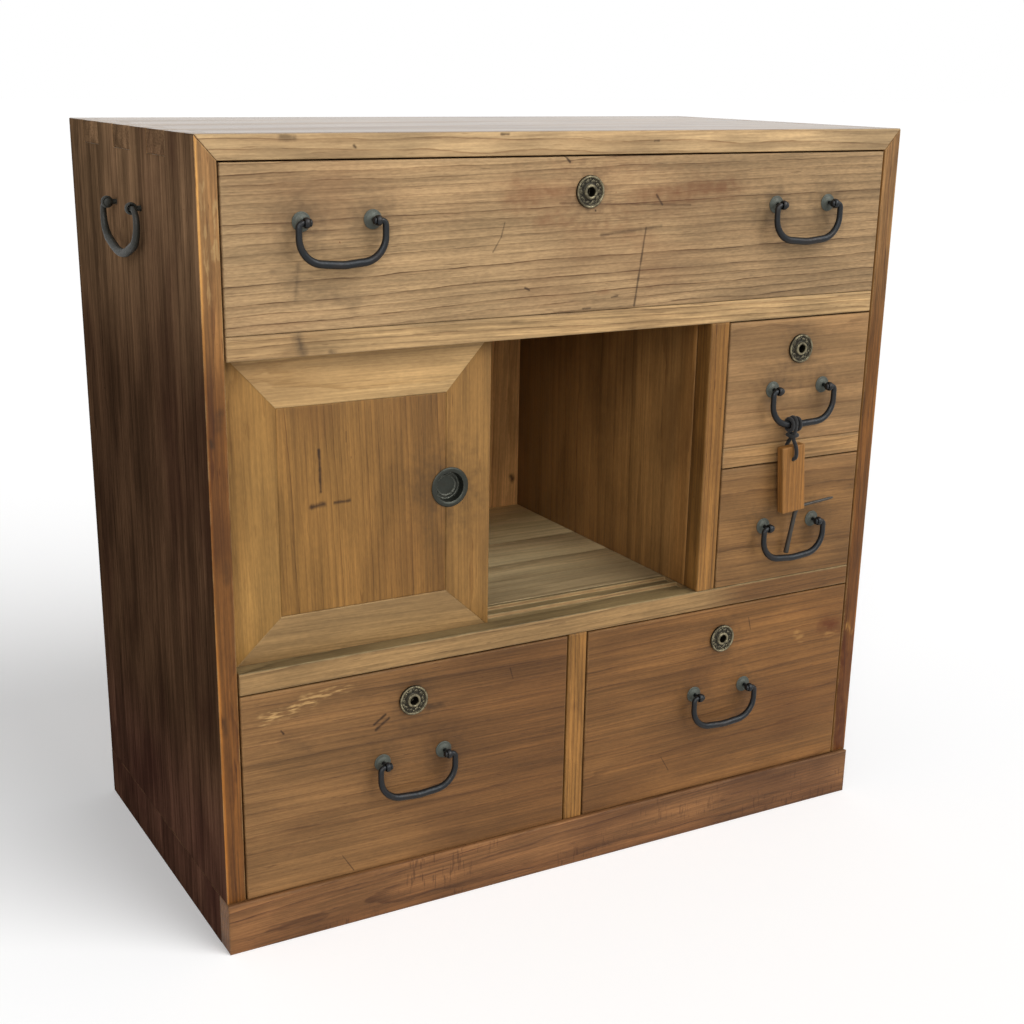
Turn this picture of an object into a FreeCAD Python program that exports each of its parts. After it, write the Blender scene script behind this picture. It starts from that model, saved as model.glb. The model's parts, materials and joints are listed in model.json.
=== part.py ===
import FreeCAD, Part
import math
import os
from dataclasses import dataclass

# A low softwood chest: one wide drawer, two sliding doors, two small drawers and two lower drawers.
# Millimetres. X runs from left to right, Y from front to back, Z up from the floor.

# Overall plan of the carcass.
chest_width = 640.0
chest_depth = 330.0

# Heights, from the floor up.
plinth_height = 44.0
lower_opening_height = 176.0
small_opening_height = 111.0
top_opening_height = 122.0
rail_height = 18.0
top_thickness = 18.0

# Widths across the front.
side_thickness = 16.0
small_opening_width = 158.0
upper_post_width = 19.0
lower_left_opening_width = 298.0
lower_post_width = 18.0

# Boards and joints of the carcass.
post_depth = 20.0
shelf_thickness = 8.0
floor_thickness = 10.0
floor_front_board_width = 93.0
floor_middle_board_width = 60.0
bottom_thickness = 10.0
back_thickness = 8.0
back_board_count = 4
upper_partition_thickness = 12.0
lower_partition_thickness = 10.0
guide_height = 14.0
plinth_thickness = 22.0
plinth_rebate = 8.0
plinth_projection = 3.5
shrinkage_gap = 1.5
housing_depth = 4.0
tenon_length = 9.0
tenon_height = 8.0
tenon_setback = 5.0
finger_count = 7
mitre_depth = 21.0
worn_edge_radius = 1.2

# Sliding doors and the grooves that they run in.
door_thickness = 13.0
door_overlap = 16.0
door_stile_width = 40.0
door_top_rail_width = 44.0
door_bottom_rail_width = 37.0
door_panel_thickness = 9.0
door_panel_setback = 0.4
door_tongue_width = 6.0
door_tongue_thickness = 4.0
door_rest_gap = 4.0
door_end_clearance = 0.6
sill_lip = 17.0
groove_clearance = 0.5
groove_ridge = 4.0
sill_groove_depth = 3.0
head_groove_depth = 8.0
door_lift_clearance = 4.5
door_running_clearance = 0.3
sill_back_ridge = 5.0

# Recessed round pulls of the doors.
door_pull_radius = 16.5
door_pull_inset = 36.5
door_pull_height = 121.5
door_pull_depth = 8.0
door_pull_wall = 1.2
door_pull_rim_width = 3.2
door_pull_rim_height = 1.0

# Drawers.
front_thickness = 18.0
drawer_side_thickness = 9.0
drawer_bottom_thickness = 7.0
drawer_lap = 9.0
drawer_side_clearance = 1.5
drawer_top_clearance = 1.2
drawer_running_clearance = 0.3
drawer_wall_drop = 4.0
drawer_back_drop = 9.0
drawer_back_space = 12.0

# Drawer pulls: a hanging bail in two eye posts on rosettes.
pull_pitch = 56.0
pull_leg_spread = 68.0
pull_drop = 31.0
pull_standoff = 10.0
pull_bar_radius = 2.7
pull_pin_radius = 1.8
pull_corner_radius = 15.0
pull_eye_radius = 4.0
pull_eye_width = 4.0
pull_sag = 0.0
top_pull_from_side = 89.0
top_pull_height = 79.0
upper_small_pull_height = 48.5
lower_small_pull_height = 52.5
lower_pull_height = 95.0
rosette_radius = 7.3
rosette_thickness = 1.2
post_shank_radius = 1.9
clinch_radius = 4.5
clinch_thickness = 1.2

# Carrying handles on the sides.
handle_pitch = 66.0
handle_leg_spread = 91.0
handle_drop = 40.0
handle_standoff = 7.5
handle_bar_radius = 3.5
handle_pin_radius = 2.2
handle_corner_radius = 20.0
handle_sag = 16.0
handle_bottom_radius = 60.0
handle_eye_radius = 4.8
handle_eye_width = 5.0
handle_below_top = 60.0
handle_spike_depth = 12.0
handle_spike_radius = 2.4

# Loose running fits of the ironwork.
eye_clearance = 0.3
eye_side_gap = 0.4
knob_excess = 0.9
knob_thickness = 2.0
knob_taper = 0.6

# Drawer locks.
lock_plate_radius = 12.7
lock_plate_thickness = 1.6
lock_rim_width = 2.0
lock_rim_height = 0.9
lock_ring_radius = 6.0
lock_ring_height = 1.6
keyhole_radius = 4.3
upper_lock_drop = 28.0
lower_lock_drop = 31.0
lock_case_width = 36.0
lock_case_depth = 9.0
lock_case_below = 14.0
bolt_width = 12.0
bolt_thickness = 4.0
bolt_below = 4.0
bolt_recess = 0.6
bolt_travel = 6.5
bolt_clearance = 0.3

# Key on its wooden tag, hung from the upper small drawer's pull.
tag_width = 25.0
tag_height = 61.0
tag_thickness = 8.0
tag_lean = 5.0
tag_hole_clearance = 0.3
tag_hole_from_top = 12.0
tag_hole_from_left = 12.0
tag_edge_radius = 0.8
fob_from_pull_centre = -10.0
cord_diameter = 3.4
cord_end_gap = 1.0
cord_loop_reach = 5.3
cord_strand_reach = 4.9
cord_neck_reach = 2.8
cord_fold_reach = 7.4
cord_loop_rise = 5.3
cord_strand_fall = 4.4
cord_neck_fall = 12.0
cord_fold_rise = 11.0
cord_length_below_bar = 31.0
key_radius = 2.1
key_length = 41.0
key_tang = 12.0
key_sideways = -7.3
key_backwards = 4.7
key_from_left = 18.0
cross_pin_radius = 1.0
cross_pin_length = 40.0
cross_pin_seat = 4.0
cross_pin_above_bottom = 4.0

Vector = FreeCAD.Vector
ALONG_X = Vector(1, 0, 0)
ALONG_Y = Vector(0, 1, 0)
ALONG_Z = Vector(0, 0, 1)

# Levels and lines worked out from the sizes above. The overall depth takes in the pulls.
pull_reach = pull_standoff + pull_eye_radius
front_y = (pull_reach - chest_depth) / 2
back_y = front_y + chest_depth
inner_back_y = back_y - back_thickness
lower_z = plinth_height
middle_rail_z = lower_z + lower_opening_height
middle_z = middle_rail_z + rail_height
small_rail_z = middle_z + small_opening_height
small_z = small_rail_z + rail_height
upper_rail_z = small_z + small_opening_height
upper_z = upper_rail_z + rail_height
top_z = upper_z + top_opening_height
chest_height = top_z + top_thickness
handle_height = chest_height - handle_below_top
half_width = chest_width / 2
inner_x = half_width - side_thickness
top_pull_offset = inner_x - top_pull_from_side
upper_post_right = inner_x - small_opening_width
upper_post_left = upper_post_right - upper_post_width
lower_post_left = lower_left_opening_width - inner_x
lower_post_right = lower_post_left + lower_post_width
groove_width = door_thickness + 2 * groove_clearance
rail_depth = sill_lip + 2 * groove_width + groove_ridge + sill_back_ridge
door_width = (upper_post_left + inner_x + door_overlap) / 2
cord_radius = cord_diameter / 2


def box(x0, x1, y0, y1, z0, z1):
    """A board between six planes."""
    return Part.makeBox(x1 - x0, y1 - y0, z1 - z0, Vector(x0, y0, z0))


def rod(start, end, radius):
    """A round bar from one point to another."""
    along = end - start
    return Part.makeCylinder(radius, along.Length, start, along)


def prism_along_y(outline, y0, y1):
    """A prism whose outline is given as (x, z) pairs."""
    corners = [Vector(x, y0, z) for x, z in outline]
    face = Part.Face(Part.makePolygon(corners + corners[:1]))
    return face.extrude(Vector(0, y1 - y0, 0))


def eased(board, radius, y):
    """Rounds the edges of a board that lie in its front plane."""
    edges = []
    for edge in board.Edges:
        limits = edge.BoundBox
        if abs(limits.YMin - y) < 1e-6 and abs(limits.YMax - y) < 1e-6:
            edges.append(edge)
    return board.makeFillet(radius, edges)


def rounded_path(points, radii):
    """Straight runs joined by tangent arcs, as one wire."""
    edges = []
    start = points[0]
    for before, corner, after, radius in zip(points, points[1:], points[2:], radii):
        into = (corner - before).normalize()
        out = (after - corner).normalize()
        turn = into.getAngle(out)
        reach = radius * math.tan(turn / 2)
        entry = corner - into * reach
        leave = corner + out * reach
        inward = (out - into).normalize()
        middle = corner + inward * (radius / math.cos(turn / 2) - radius)
        if (entry - start).Length > 1e-6:
            edges.append(Part.LineSegment(start, entry).toShape())
        edges.append(Part.Arc(entry, middle, leave).toShape())
        start = leave
    if (points[-1] - start).Length > 1e-6:
        edges.append(Part.LineSegment(start, points[-1]).toShape())
    return Part.Wire(edges)


def tube(path, radius):
    """A round bar swept along a path that starts on its first edge."""
    first = path.Edges[0]
    start = first.valueAt(first.FirstParameter)
    along = first.tangentAt(first.FirstParameter)
    section = Part.Wire(Part.makeCircle(radius, start, along))
    return path.makePipeShell([section], True, False)


def write(node, *solids):
    """Writes one node, as one solid or as a group of separate solids."""
    shape = solids[0] if len(solids) == 1 else Part.makeCompound(list(solids))
    shape.exportStep(f"parts/{node}.step")


@dataclass
class Bail:
    """A hanging handle in two eye posts, drawn facing -Y with its pivot line through the origin."""

    pitch: float
    leg_spread: float
    drop: float
    standoff: float
    bar_radius: float
    pin_radius: float
    corner_radius: float
    eye_radius: float
    eye_width: float
    sag: float
    bottom_radius: float = 0.0

    def eye_outer(self):
        """Where the bar may start, outside an eye."""
        return (self.pitch + self.eye_width) / 2 + eye_side_gap

    def bar(self):
        """The bent bar with its two pins and their round ends."""
        leg = self.leg_spread / 2
        bend = leg - self.eye_outer()
        corner = self.sag - self.drop
        route = [
            Vector(-self.eye_outer(), 0, 0),
            Vector(-leg, 0, 0),
            Vector(-leg, 0, corner),
            Vector(leg, 0, corner),
            Vector(leg, 0, 0),
            Vector(self.eye_outer(), 0, 0),
        ]
        radii = [bend, self.corner_radius, self.corner_radius, bend]
        if self.sag:
            route.insert(3, Vector(0, 0, -self.drop))
            radii.insert(2, self.bottom_radius)
        path = rounded_path(route, radii)
        shape = tube(path, self.bar_radius)
        knob_radius = self.pin_radius + eye_clearance + knob_excess
        knob_at = (self.pitch - self.eye_width) / 2 - eye_side_gap
        for side in (-1, 1):
            inward = Vector(-side, 0, 0)
            seat = Vector(side * knob_at, 0, 0)
            pin = rod(seat, Vector(side * self.eye_outer(), 0, 0), self.pin_radius)
            knob = Part.makeCone(knob_radius, knob_radius * knob_taper, knob_thickness, seat, inward)
            shape = shape.fuse([pin, knob])
        return shape.removeSplitter()

    def eye(self, side, shank_end, shank_radius):
        """One eye post: a shank that ends in a ring for the pin."""
        at = side * self.pitch / 2
        half = self.eye_width / 2
        ring = rod(Vector(at - half, 0, 0), Vector(at + half, 0, 0), self.eye_radius)
        shank = rod(Vector(at, 0, 0), Vector(at, self.standoff + shank_end, 0), shank_radius)
        reach = half + eye_side_gap
        hole = rod(Vector(at - reach, 0, 0), Vector(at + reach, 0, 0), self.pin_radius + eye_clearance)
        return ring.fuse(shank).cut(hole).removeSplitter()


drawer_bail = Bail(
    pull_pitch, pull_leg_spread, pull_drop, pull_standoff, pull_bar_radius, pull_pin_radius,
    pull_corner_radius, pull_eye_radius, pull_eye_width, pull_sag,
)
side_bail = Bail(
    handle_pitch, handle_leg_spread, handle_drop, handle_standoff, handle_bar_radius, handle_pin_radius,
    handle_corner_radius, handle_eye_radius, handle_eye_width, handle_sag, handle_bottom_radius,
)


@dataclass
class Drawer:
    """One drawer's opening, pulls and lock."""

    name: str
    left: float
    right: float
    floor: float
    height: float
    pull_centres: list
    pull_height: float
    lock_drop: float

    def front_limits(self):
        """The front board's left, right, bottom and top."""
        return (
            self.left + drawer_side_clearance,
            self.right - drawer_side_clearance,
            self.floor + drawer_running_clearance,
            self.floor + self.height - drawer_top_clearance,
        )

    def pull_z(self):
        """Height of the pulls' pivot line."""
        return self.floor + self.pull_height

    def lock_x(self):
        """Middle of the lock."""
        return (self.left + self.right) / 2

    def lock_z(self):
        """Height of the keyhole."""
        return self.floor + self.height - self.lock_drop


drawers = [
    Drawer(
        "top_drawer", -inner_x, inner_x, upper_z, top_opening_height,
        [-top_pull_offset, top_pull_offset], top_pull_height, upper_lock_drop,
    ),
    Drawer(
        "upper_small_drawer", upper_post_right, inner_x, small_z, small_opening_height,
        [(upper_post_right + inner_x) / 2], upper_small_pull_height, upper_lock_drop,
    ),
    Drawer(
        "lower_small_drawer", upper_post_right, inner_x, middle_z, small_opening_height,
        [(upper_post_right + inner_x) / 2], lower_small_pull_height, 0.0,
    ),
    Drawer(
        "lower_left_drawer", -inner_x, lower_post_left, lower_z, lower_opening_height,
        [(lower_post_left - inner_x) / 2], lower_pull_height, lower_lock_drop,
    ),
    Drawer(
        "lower_right_drawer", lower_post_right, inner_x, lower_z, lower_opening_height,
        [(lower_post_right + inner_x) / 2], lower_pull_height, lower_lock_drop,
    ),
]


def bolt_solid(drawer, spare):
    """A lock's bolt, or with some spare room all round the channel that it slides in."""
    x = drawer.lock_x()
    back = front_y + front_thickness
    middle = back - lock_case_depth / 2
    top = drawer.front_limits()[3] - bolt_recess
    reach = spare + bolt_recess if spare else 0.0
    half_bolt = bolt_width / 2 + spare
    half_depth = bolt_thickness / 2 + spare
    return box(
        x - half_bolt, x + half_bolt, middle - half_depth, middle + half_depth,
        drawer.lock_z() - bolt_below - spare, top + reach,
    )


def bolt_mortise(drawer):
    """The hole above a drawer that its bolt rises into."""
    hole = bolt_solid(drawer, bolt_clearance)
    limits = hole.BoundBox
    above = drawer.floor + drawer.height
    return box(limits.XMin, limits.XMax, limits.YMin, limits.YMax, above, above + bolt_travel)


def build_drawer(drawer):
    """Front, box, pulls and lock of one drawer."""
    left, right, bottom, top = drawer.front_limits()
    back = front_y + front_thickness
    lap_y = back - drawer_lap
    end_y = inner_back_y - drawer_back_space
    wall = drawer_side_thickness
    board_top = bottom + drawer_bottom_thickness
    wall_top = top - drawer_wall_drop
    sides = [
        box(left, left + wall, lap_y, end_y, board_top, wall_top),
        box(right - wall, right, lap_y, end_y, board_top, wall_top),
    ]
    back_board = box(left + wall, right - wall, end_y - wall, end_y, board_top, top - drawer_back_drop)
    bottom_board = box(left, right, lap_y, end_y, bottom, board_top)
    front = eased(box(left, right, front_y, back, bottom, top), worn_edge_radius, front_y)
    front = front.cut(sides + [bottom_board])
    posts = []
    for centre in drawer.pull_centres:
        pivot = Vector(centre, front_y - pull_standoff, drawer.pull_z())
        place = FreeCAD.Placement(pivot, FreeCAD.Rotation())
        for side in (-1, 1):
            eye = drawer_bail.eye(side, front_thickness + clinch_thickness, post_shank_radius)
            eye.Placement = place
            at = Vector(centre + side * pull_pitch / 2, front_y, drawer.pull_z())
            through = rod(at, at + ALONG_Y * front_thickness, post_shank_radius)
            front = front.cut(through)
            rosette = rod(at - ALONG_Y * rosette_thickness, at, rosette_radius).cut(eye)
            behind = at + ALONG_Y * front_thickness
            clinch = rod(behind, behind + ALONG_Y * clinch_thickness, clinch_radius)
            posts += [eye, rosette, clinch.cut(eye)]
    for index, centre in enumerate(drawer.pull_centres):
        bail = drawer_bail.bar()
        bail.translate(Vector(centre, front_y - pull_standoff, drawer.pull_z()))
        sides_of_pair = ["left", "right"]
        owner = f"{drawer.name}_{sides_of_pair[index]}" if len(drawer.pull_centres) > 1 else drawer.name
        write(f"{owner}_bail", bail)
    write(f"{drawer.name}_pull_posts", *posts)
    write(f"{drawer.name}_box", *sides, back_board, bottom_board)
    if drawer.lock_drop:
        front = front.cut(build_lock(drawer, top, back))
    write(f"{drawer.name}_front", front)


def build_lock(drawer, front_top, back):
    """Plate, case and bolt of a lock, and the room that they take in the drawer front."""
    x = drawer.lock_x()
    z = drawer.lock_z()
    face = Vector(x, front_y, z)
    case_y = back - lock_case_depth
    half_case = lock_case_width / 2
    plate = rod(face - ALONG_Y * lock_plate_thickness, face, lock_plate_radius)
    rim_face = lock_plate_thickness + lock_rim_height
    rim = rod(face - ALONG_Y * rim_face, face, lock_plate_radius)
    rim = rim.cut(rod(face - ALONG_Y * rim_face, face, lock_plate_radius - lock_rim_width))
    ring_face = face - ALONG_Y * (lock_plate_thickness + lock_ring_height)
    ring = rod(ring_face, face, lock_ring_radius)
    keyhole = rod(ring_face, Vector(x, case_y, z), keyhole_radius)
    plate = plate.fuse([rim, ring]).cut(keyhole).removeSplitter()
    pocket = box(x - half_case, x + half_case, case_y, back, z - lock_case_below, front_top)
    case = pocket.cut(bolt_solid(drawer, bolt_clearance))
    write(f"{drawer.name}_lock", plate, case)
    write(f"{drawer.name}_bolt", bolt_solid(drawer, 0.0))
    return [pocket, keyhole]


def tenon(x0, x1, z0, depth):
    """A rail's stub tenon between two planes, in the middle of the rail's height."""
    middle = z0 + rail_height / 2
    half = tenon_height / 2
    return box(x0, x1, front_y + tenon_setback, front_y + depth - tenon_setback, middle - half, middle + half)


def rail(left, right, z0, depth):
    """A front rail with a stub tenon at each end, and those tenons."""
    body = box(left + shrinkage_gap, right - shrinkage_gap, front_y, front_y + depth, z0, z0 + rail_height)
    body = eased(body, worn_edge_radius, front_y)
    left_tenon = tenon(left - tenon_length, left + shrinkage_gap, z0, depth)
    right_tenon = tenon(right - shrinkage_gap, right + tenon_length, z0, depth)
    return body.fuse([left_tenon, right_tenon]).removeSplitter(), [left_tenon, right_tenon]


def door_grooves(z0, z1):
    """The front and rear grooves of the sill or of the rail above it."""
    grooves = []
    for index in (0, 1):
        start = front_y + sill_lip + index * (groove_width + groove_ridge)
        grooves.append(box(-inner_x, upper_post_left, start, start + groove_width, z0, z1))
    return grooves


def corner_joint(side):
    """The side's and the top's shares of one upper corner: a mitre in front, fingers behind it."""
    inner = side * inner_x
    outer = side * half_width
    mitre_end = front_y + mitre_depth
    below_mitre = [(outer, top_z), (inner, top_z), (outer, chest_height)]
    above_mitre = [(inner, top_z), (inner, chest_height), (outer, chest_height)]
    of_side = [prism_along_y(below_mitre, front_y, mitre_end)]
    of_top = [prism_along_y(above_mitre, front_y, mitre_end)]
    step = (back_y - mitre_end) / finger_count
    for index in range(finger_count):
        y0 = mitre_end + index * step
        finger = box(min(inner, outer), max(inner, outer), y0, y0 + step, top_z, chest_height)
        (of_top if index % 2 else of_side).append(finger)
    return of_side, of_top


def build_carcass():
    """Top, sides, rails, posts, partitions, shelves, bottom, back and plinth."""
    by_name = {drawer.name: drawer for drawer in drawers}
    behind_rail = front_y + rail_depth
    behind_post = front_y + post_depth

    upper_rail, upper_tenons = rail(-inner_x, inner_x, upper_rail_z, rail_depth)
    middle_rail, middle_tenons = rail(-inner_x, inner_x, middle_rail_z, rail_depth)
    small_rail, small_tenons = rail(upper_post_right, inner_x, small_rail_z, post_depth)
    upper_rail = upper_rail.cut(door_grooves(upper_rail_z, upper_rail_z + head_groove_depth))
    upper_rail = upper_rail.cut(bolt_mortise(by_name["upper_small_drawer"]))
    middle_rail = middle_rail.cut(door_grooves(middle_z - sill_groove_depth, middle_z))
    for side in ("left", "right"):
        middle_rail = middle_rail.cut(bolt_mortise(by_name[f"lower_{side}_drawer"]))
    write("upper_rail", upper_rail)
    write("middle_rail", middle_rail)
    write("small_rail", small_rail)

    upper_shelf = box(
        -inner_x - housing_depth, inner_x + housing_depth, behind_rail, inner_back_y,
        upper_z - shelf_thickness, upper_z,
    )
    partition_right = upper_post_left + upper_partition_thickness
    small_shelf = box(
        partition_right - housing_depth, inner_x + housing_depth, behind_post, inner_back_y,
        small_z - shelf_thickness, small_z,
    )
    floor_edges = [behind_rail, behind_rail + floor_front_board_width]
    floor_edges += [floor_edges[1] + floor_middle_board_width, inner_back_y]
    floor_boards = [
        box(-inner_x - housing_depth, inner_x + housing_depth, y0, y1, middle_z - floor_thickness, middle_z)
        for y0, y1 in zip(floor_edges, floor_edges[1:])
    ]
    write("upper_shelf", upper_shelf)
    write("small_shelf", small_shelf)
    write("compartment_floor", *floor_boards)

    upper_post = box(upper_post_left, upper_post_right, front_y, behind_post, middle_z, upper_rail_z)
    upper_post = eased(upper_post, worn_edge_radius, front_y).cut(small_tenons)
    lower_post = box(lower_post_left, lower_post_right, front_y, behind_post, lower_z, middle_rail_z)
    lower_post = eased(lower_post, worn_edge_radius, front_y)
    upper_partition = box(
        upper_post_left, partition_right, behind_post, inner_back_y, middle_z, upper_z - shelf_thickness,
    )
    rail_room = box(-inner_x, inner_x, front_y, behind_rail, upper_rail_z, upper_z)
    upper_partition = upper_partition.cut([rail_room, small_shelf])
    lower_middle = (lower_post_left + lower_post_right) / 2
    half_partition = lower_partition_thickness / 2
    lower_partition = box(
        lower_middle - half_partition, lower_middle + half_partition, behind_post, inner_back_y,
        lower_z, middle_z - floor_thickness,
    )
    middle_rail_room = box(-inner_x, inner_x, front_y, behind_rail, middle_rail_z, middle_z)
    lower_partition = lower_partition.cut(middle_rail_room)
    write("upper_post", upper_post)
    write("lower_post", lower_post)
    write("upper_partition", upper_partition)
    write("lower_partition", lower_partition)
    guide_lines = [
        (partition_right, upper_post_right, middle_z),
        (partition_right, upper_post_right, small_z),
        (lower_post_left, lower_middle - half_partition, lower_z),
        (lower_middle + half_partition, lower_post_right, lower_z),
    ]
    guides = [box(x0, x1, behind_post, inner_back_y, z0, z0 + guide_height) for x0, x1, z0 in guide_lines]
    write("drawer_guides", *guides)

    sides = {}
    top_board = box(-inner_x, inner_x, front_y, back_y, top_z, chest_height)
    housings = [upper_shelf, small_shelf, *floor_boards, *upper_tenons, *middle_tenons, *small_tenons]
    for name, side in (("left_side", -1), ("right_side", 1)):
        inner = side * inner_x
        outer = side * half_width
        of_side, of_top = corner_joint(side)
        board = box(min(inner, outer), max(inner, outer), front_y, back_y, plinth_height, top_z)
        board = board.fuse(of_side).removeSplitter()
        top_board = top_board.fuse(of_top)
        sides[name] = board.cut(housings)
    top_board = top_board.removeSplitter().cut(bolt_mortise(by_name["top_drawer"]))
    write("top_board", top_board)

    posts = []
    for name, side in (("left_side", -1), ("right_side", 1)):
        turn = FreeCAD.Rotation(ALONG_Z, 90 * side)
        middle_y = (front_y + back_y) / 2
        pivot = Vector(side * (half_width + handle_standoff), middle_y, handle_height)
        place = FreeCAD.Placement(pivot, turn)
        for end in (-1, 1):
            eye = side_bail.eye(end, handle_spike_depth, handle_spike_radius)
            eye.Placement = place
            sides[name] = sides[name].cut(eye)
            posts.append(eye)
        handle = side_bail.bar()
        handle.Placement = place
        write(f"{name}_handle", handle)
        write(name, sides[name])
    write("side_handle_posts", *posts)

    board_width = 2 * inner_x / back_board_count
    board_edges = [-inner_x + index * board_width for index in range(back_board_count)]
    back_boards = [
        box(edge, edge + board_width, inner_back_y, back_y, plinth_height, top_z)
        for edge in board_edges
    ]
    write("back_boards", *back_boards)
    build_plinth()


def build_plinth():
    """The base frame, with the bottom boards that lie in its rebate."""
    front_face = front_y - plinth_projection
    behind_front = front_face + plinth_thickness
    inside_x = half_width - plinth_thickness
    inside_back = back_y - plinth_thickness
    bottom_x = inside_x + plinth_rebate
    bottom_y = (behind_front - plinth_rebate, inside_back + plinth_rebate)
    middle_y = sum(bottom_y) / 2
    floor = plinth_height - bottom_thickness
    bottom_boards = [
        box(-bottom_x, bottom_x, bottom_y[0], middle_y, floor, plinth_height),
        box(-bottom_x, bottom_x, middle_y, bottom_y[1], floor, plinth_height),
    ]
    front_rail = box(-half_width, half_width, front_face, behind_front, 0, plinth_height)
    front_rail = eased(front_rail, worn_edge_radius, front_face).cut(bottom_boards)
    side_rails = [
        box(-half_width, -inside_x, behind_front, back_y, 0, plinth_height),
        box(inside_x, half_width, behind_front, back_y, 0, plinth_height),
    ]
    back_rail = box(-inside_x, inside_x, inside_back, back_y, 0, plinth_height)
    write("plinth_front", front_rail)
    write("plinth_frame", *[board.cut(bottom_boards) for board in side_rails + [back_rail]])
    write("bottom_boards", *bottom_boards)


def build_door(name, left, groove_index, pull_side):
    """One sliding door: a mitred frame, a flush panel and a recessed pull."""
    right = left + door_width
    face = front_y + sill_lip + groove_clearance + groove_index * (groove_width + groove_ridge)
    back = face + door_thickness
    bottom = middle_z - sill_groove_depth + door_running_clearance
    top = upper_rail_z + head_groove_depth - door_lift_clearance
    panel_left = left + door_stile_width
    panel_right = right - door_stile_width
    panel_bottom = bottom + door_bottom_rail_width
    panel_top = top - door_top_rail_width
    outer = [(left, bottom), (right, bottom), (right, top), (left, top)]
    inner = [
        (panel_left, panel_bottom), (panel_right, panel_bottom),
        (panel_right, panel_top), (panel_left, panel_top),
    ]
    panel_face = face + door_panel_setback
    tongue_face = panel_face + (door_panel_thickness - door_tongue_thickness) / 2
    panel_back = panel_face + door_panel_thickness
    panel = box(panel_left, panel_right, panel_face, panel_back, panel_bottom, panel_top)
    tongue = box(
        panel_left - door_tongue_width, panel_right + door_tongue_width,
        tongue_face, tongue_face + door_tongue_thickness,
        panel_bottom - door_tongue_width, panel_top + door_tongue_width,
    )
    panel = panel.fuse(tongue).removeSplitter()
    centre_x = right - door_pull_inset if pull_side > 0 else left + door_pull_inset
    centre = Vector(centre_x, face, middle_z + door_pull_height)
    well = rod(centre, centre + ALONG_Y * door_pull_depth, door_pull_radius - door_pull_rim_width)
    frame = []
    for index in range(4):
        after = (index + 1) % 4
        member = prism_along_y([outer[index], outer[after], inner[after], inner[index]], face, back)
        frame.append(member.cut([panel, well]))
    rim = rod(centre - ALONG_Y * door_pull_rim_height, centre, door_pull_radius)
    cup = rim.fuse(well).removeSplitter()
    hollow = rod(
        centre - ALONG_Y * door_pull_rim_height,
        centre + ALONG_Y * (door_pull_depth - door_pull_wall),
        door_pull_radius - door_pull_rim_width - door_pull_wall,
    )
    write(f"{name}_frame", *frame)
    write(f"{name}_panel", panel.cut(well))
    write(f"{name}_pull", cup.cut(hollow))


def build_key_fob():
    """A cord looped over the pull's bar, the wooden tag that it carries and the key in the tag."""
    drawer = [d for d in drawers if d.name == "upper_small_drawer"][0]
    bar = Vector(
        drawer.pull_centres[0] + fob_from_pull_centre, front_y - pull_standoff, drawer.pull_z() - pull_drop,
    )
    hole = bar - ALONG_Z * cord_length_below_bar
    half_gap = cord_end_gap / 2
    route = [
        hole + Vector(0, -half_gap, 0),
        hole + Vector(0, -cord_fold_reach, 0),
        hole + Vector(0, -cord_fold_reach, cord_fold_rise),
        bar + Vector(0, -cord_neck_reach, -cord_neck_fall),
        bar + Vector(0, -cord_strand_reach, -cord_strand_fall),
        bar + Vector(0, -cord_loop_reach, cord_loop_rise),
        bar + Vector(0, cord_loop_reach, cord_loop_rise),
        bar + Vector(0, cord_strand_reach, -cord_strand_fall),
        bar + Vector(0, cord_neck_reach, -cord_neck_fall),
        hole + Vector(0, cord_fold_reach, cord_fold_rise),
        hole + Vector(0, cord_fold_reach, 0),
        hole + Vector(0, half_gap, 0),
    ]
    radii = []
    for before, corner, after in zip(route, route[1:], route[2:]):
        turn = (corner - before).getAngle(after - corner)
        shorter = min((corner - before).Length, (after - corner).Length)
        radii.append(0.45 * shorter / math.tan(turn / 2))
    path = rounded_path(route, radii)
    cord = tube(path, cord_radius)
    share = cord.Volume / (math.pi * cord_radius ** 2 * path.Length)
    print("key cord radii", [round(radius, 2) for radius in radii])
    print("key cord length", round(path.Length, 2), "volume over section times length", round(share, 4))
    write("key_cord", cord)

    left = hole.x - tag_hole_from_left
    top = hole.z + tag_hole_from_top
    bottom = top - tag_height
    half = tag_thickness / 2
    tag = box(left, left + tag_width, hole.y - half, hole.y + half, bottom, top)
    tag = tag.makeFillet(tag_edge_radius, tag.Edges)
    tag = tag.cut(rod(hole - ALONG_Y * half, hole + ALONG_Y * half, cord_radius + tag_hole_clearance))
    mouth = Vector(left + key_from_left, hole.y, bottom)
    tip = mouth + Vector(key_sideways, key_backwards, -key_length)
    shank_line = (tip - mouth).normalize()
    key = rod(mouth - shank_line * key_tang, tip, key_radius)
    pin_start = Vector(left + tag_width - cross_pin_seat, hole.y, bottom + cross_pin_above_bottom)
    cross_pin = rod(pin_start, pin_start + ALONG_X * cross_pin_length, cross_pin_radius)
    tag = tag.cut([key, cross_pin])
    for piece in (tag, key, cross_pin):
        piece.rotate(hole, ALONG_Y, -tag_lean)
    write("key_tag", tag)
    write("key", key, cross_pin)


os.makedirs("parts", exist_ok=True)
build_carcass()
for one_drawer in drawers:
    build_drawer(one_drawer)
build_door("front_door", -inner_x + door_rest_gap, 0, 1)
build_door("rear_door", -inner_x + door_end_clearance, 1, -1)
build_key_fob()
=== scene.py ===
"""Looks of an old softwood tansu chest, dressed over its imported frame. Metres, +Z up, the front faces -Y."""

import json
import logging
import math
import random
from dataclasses import dataclass, field, replace
from enum import Enum
from functools import cached_property
from typing import Any, Iterable, Optional, Sequence, Union

import bmesh
import bpy
from mathutils import Matrix, Vector

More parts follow.
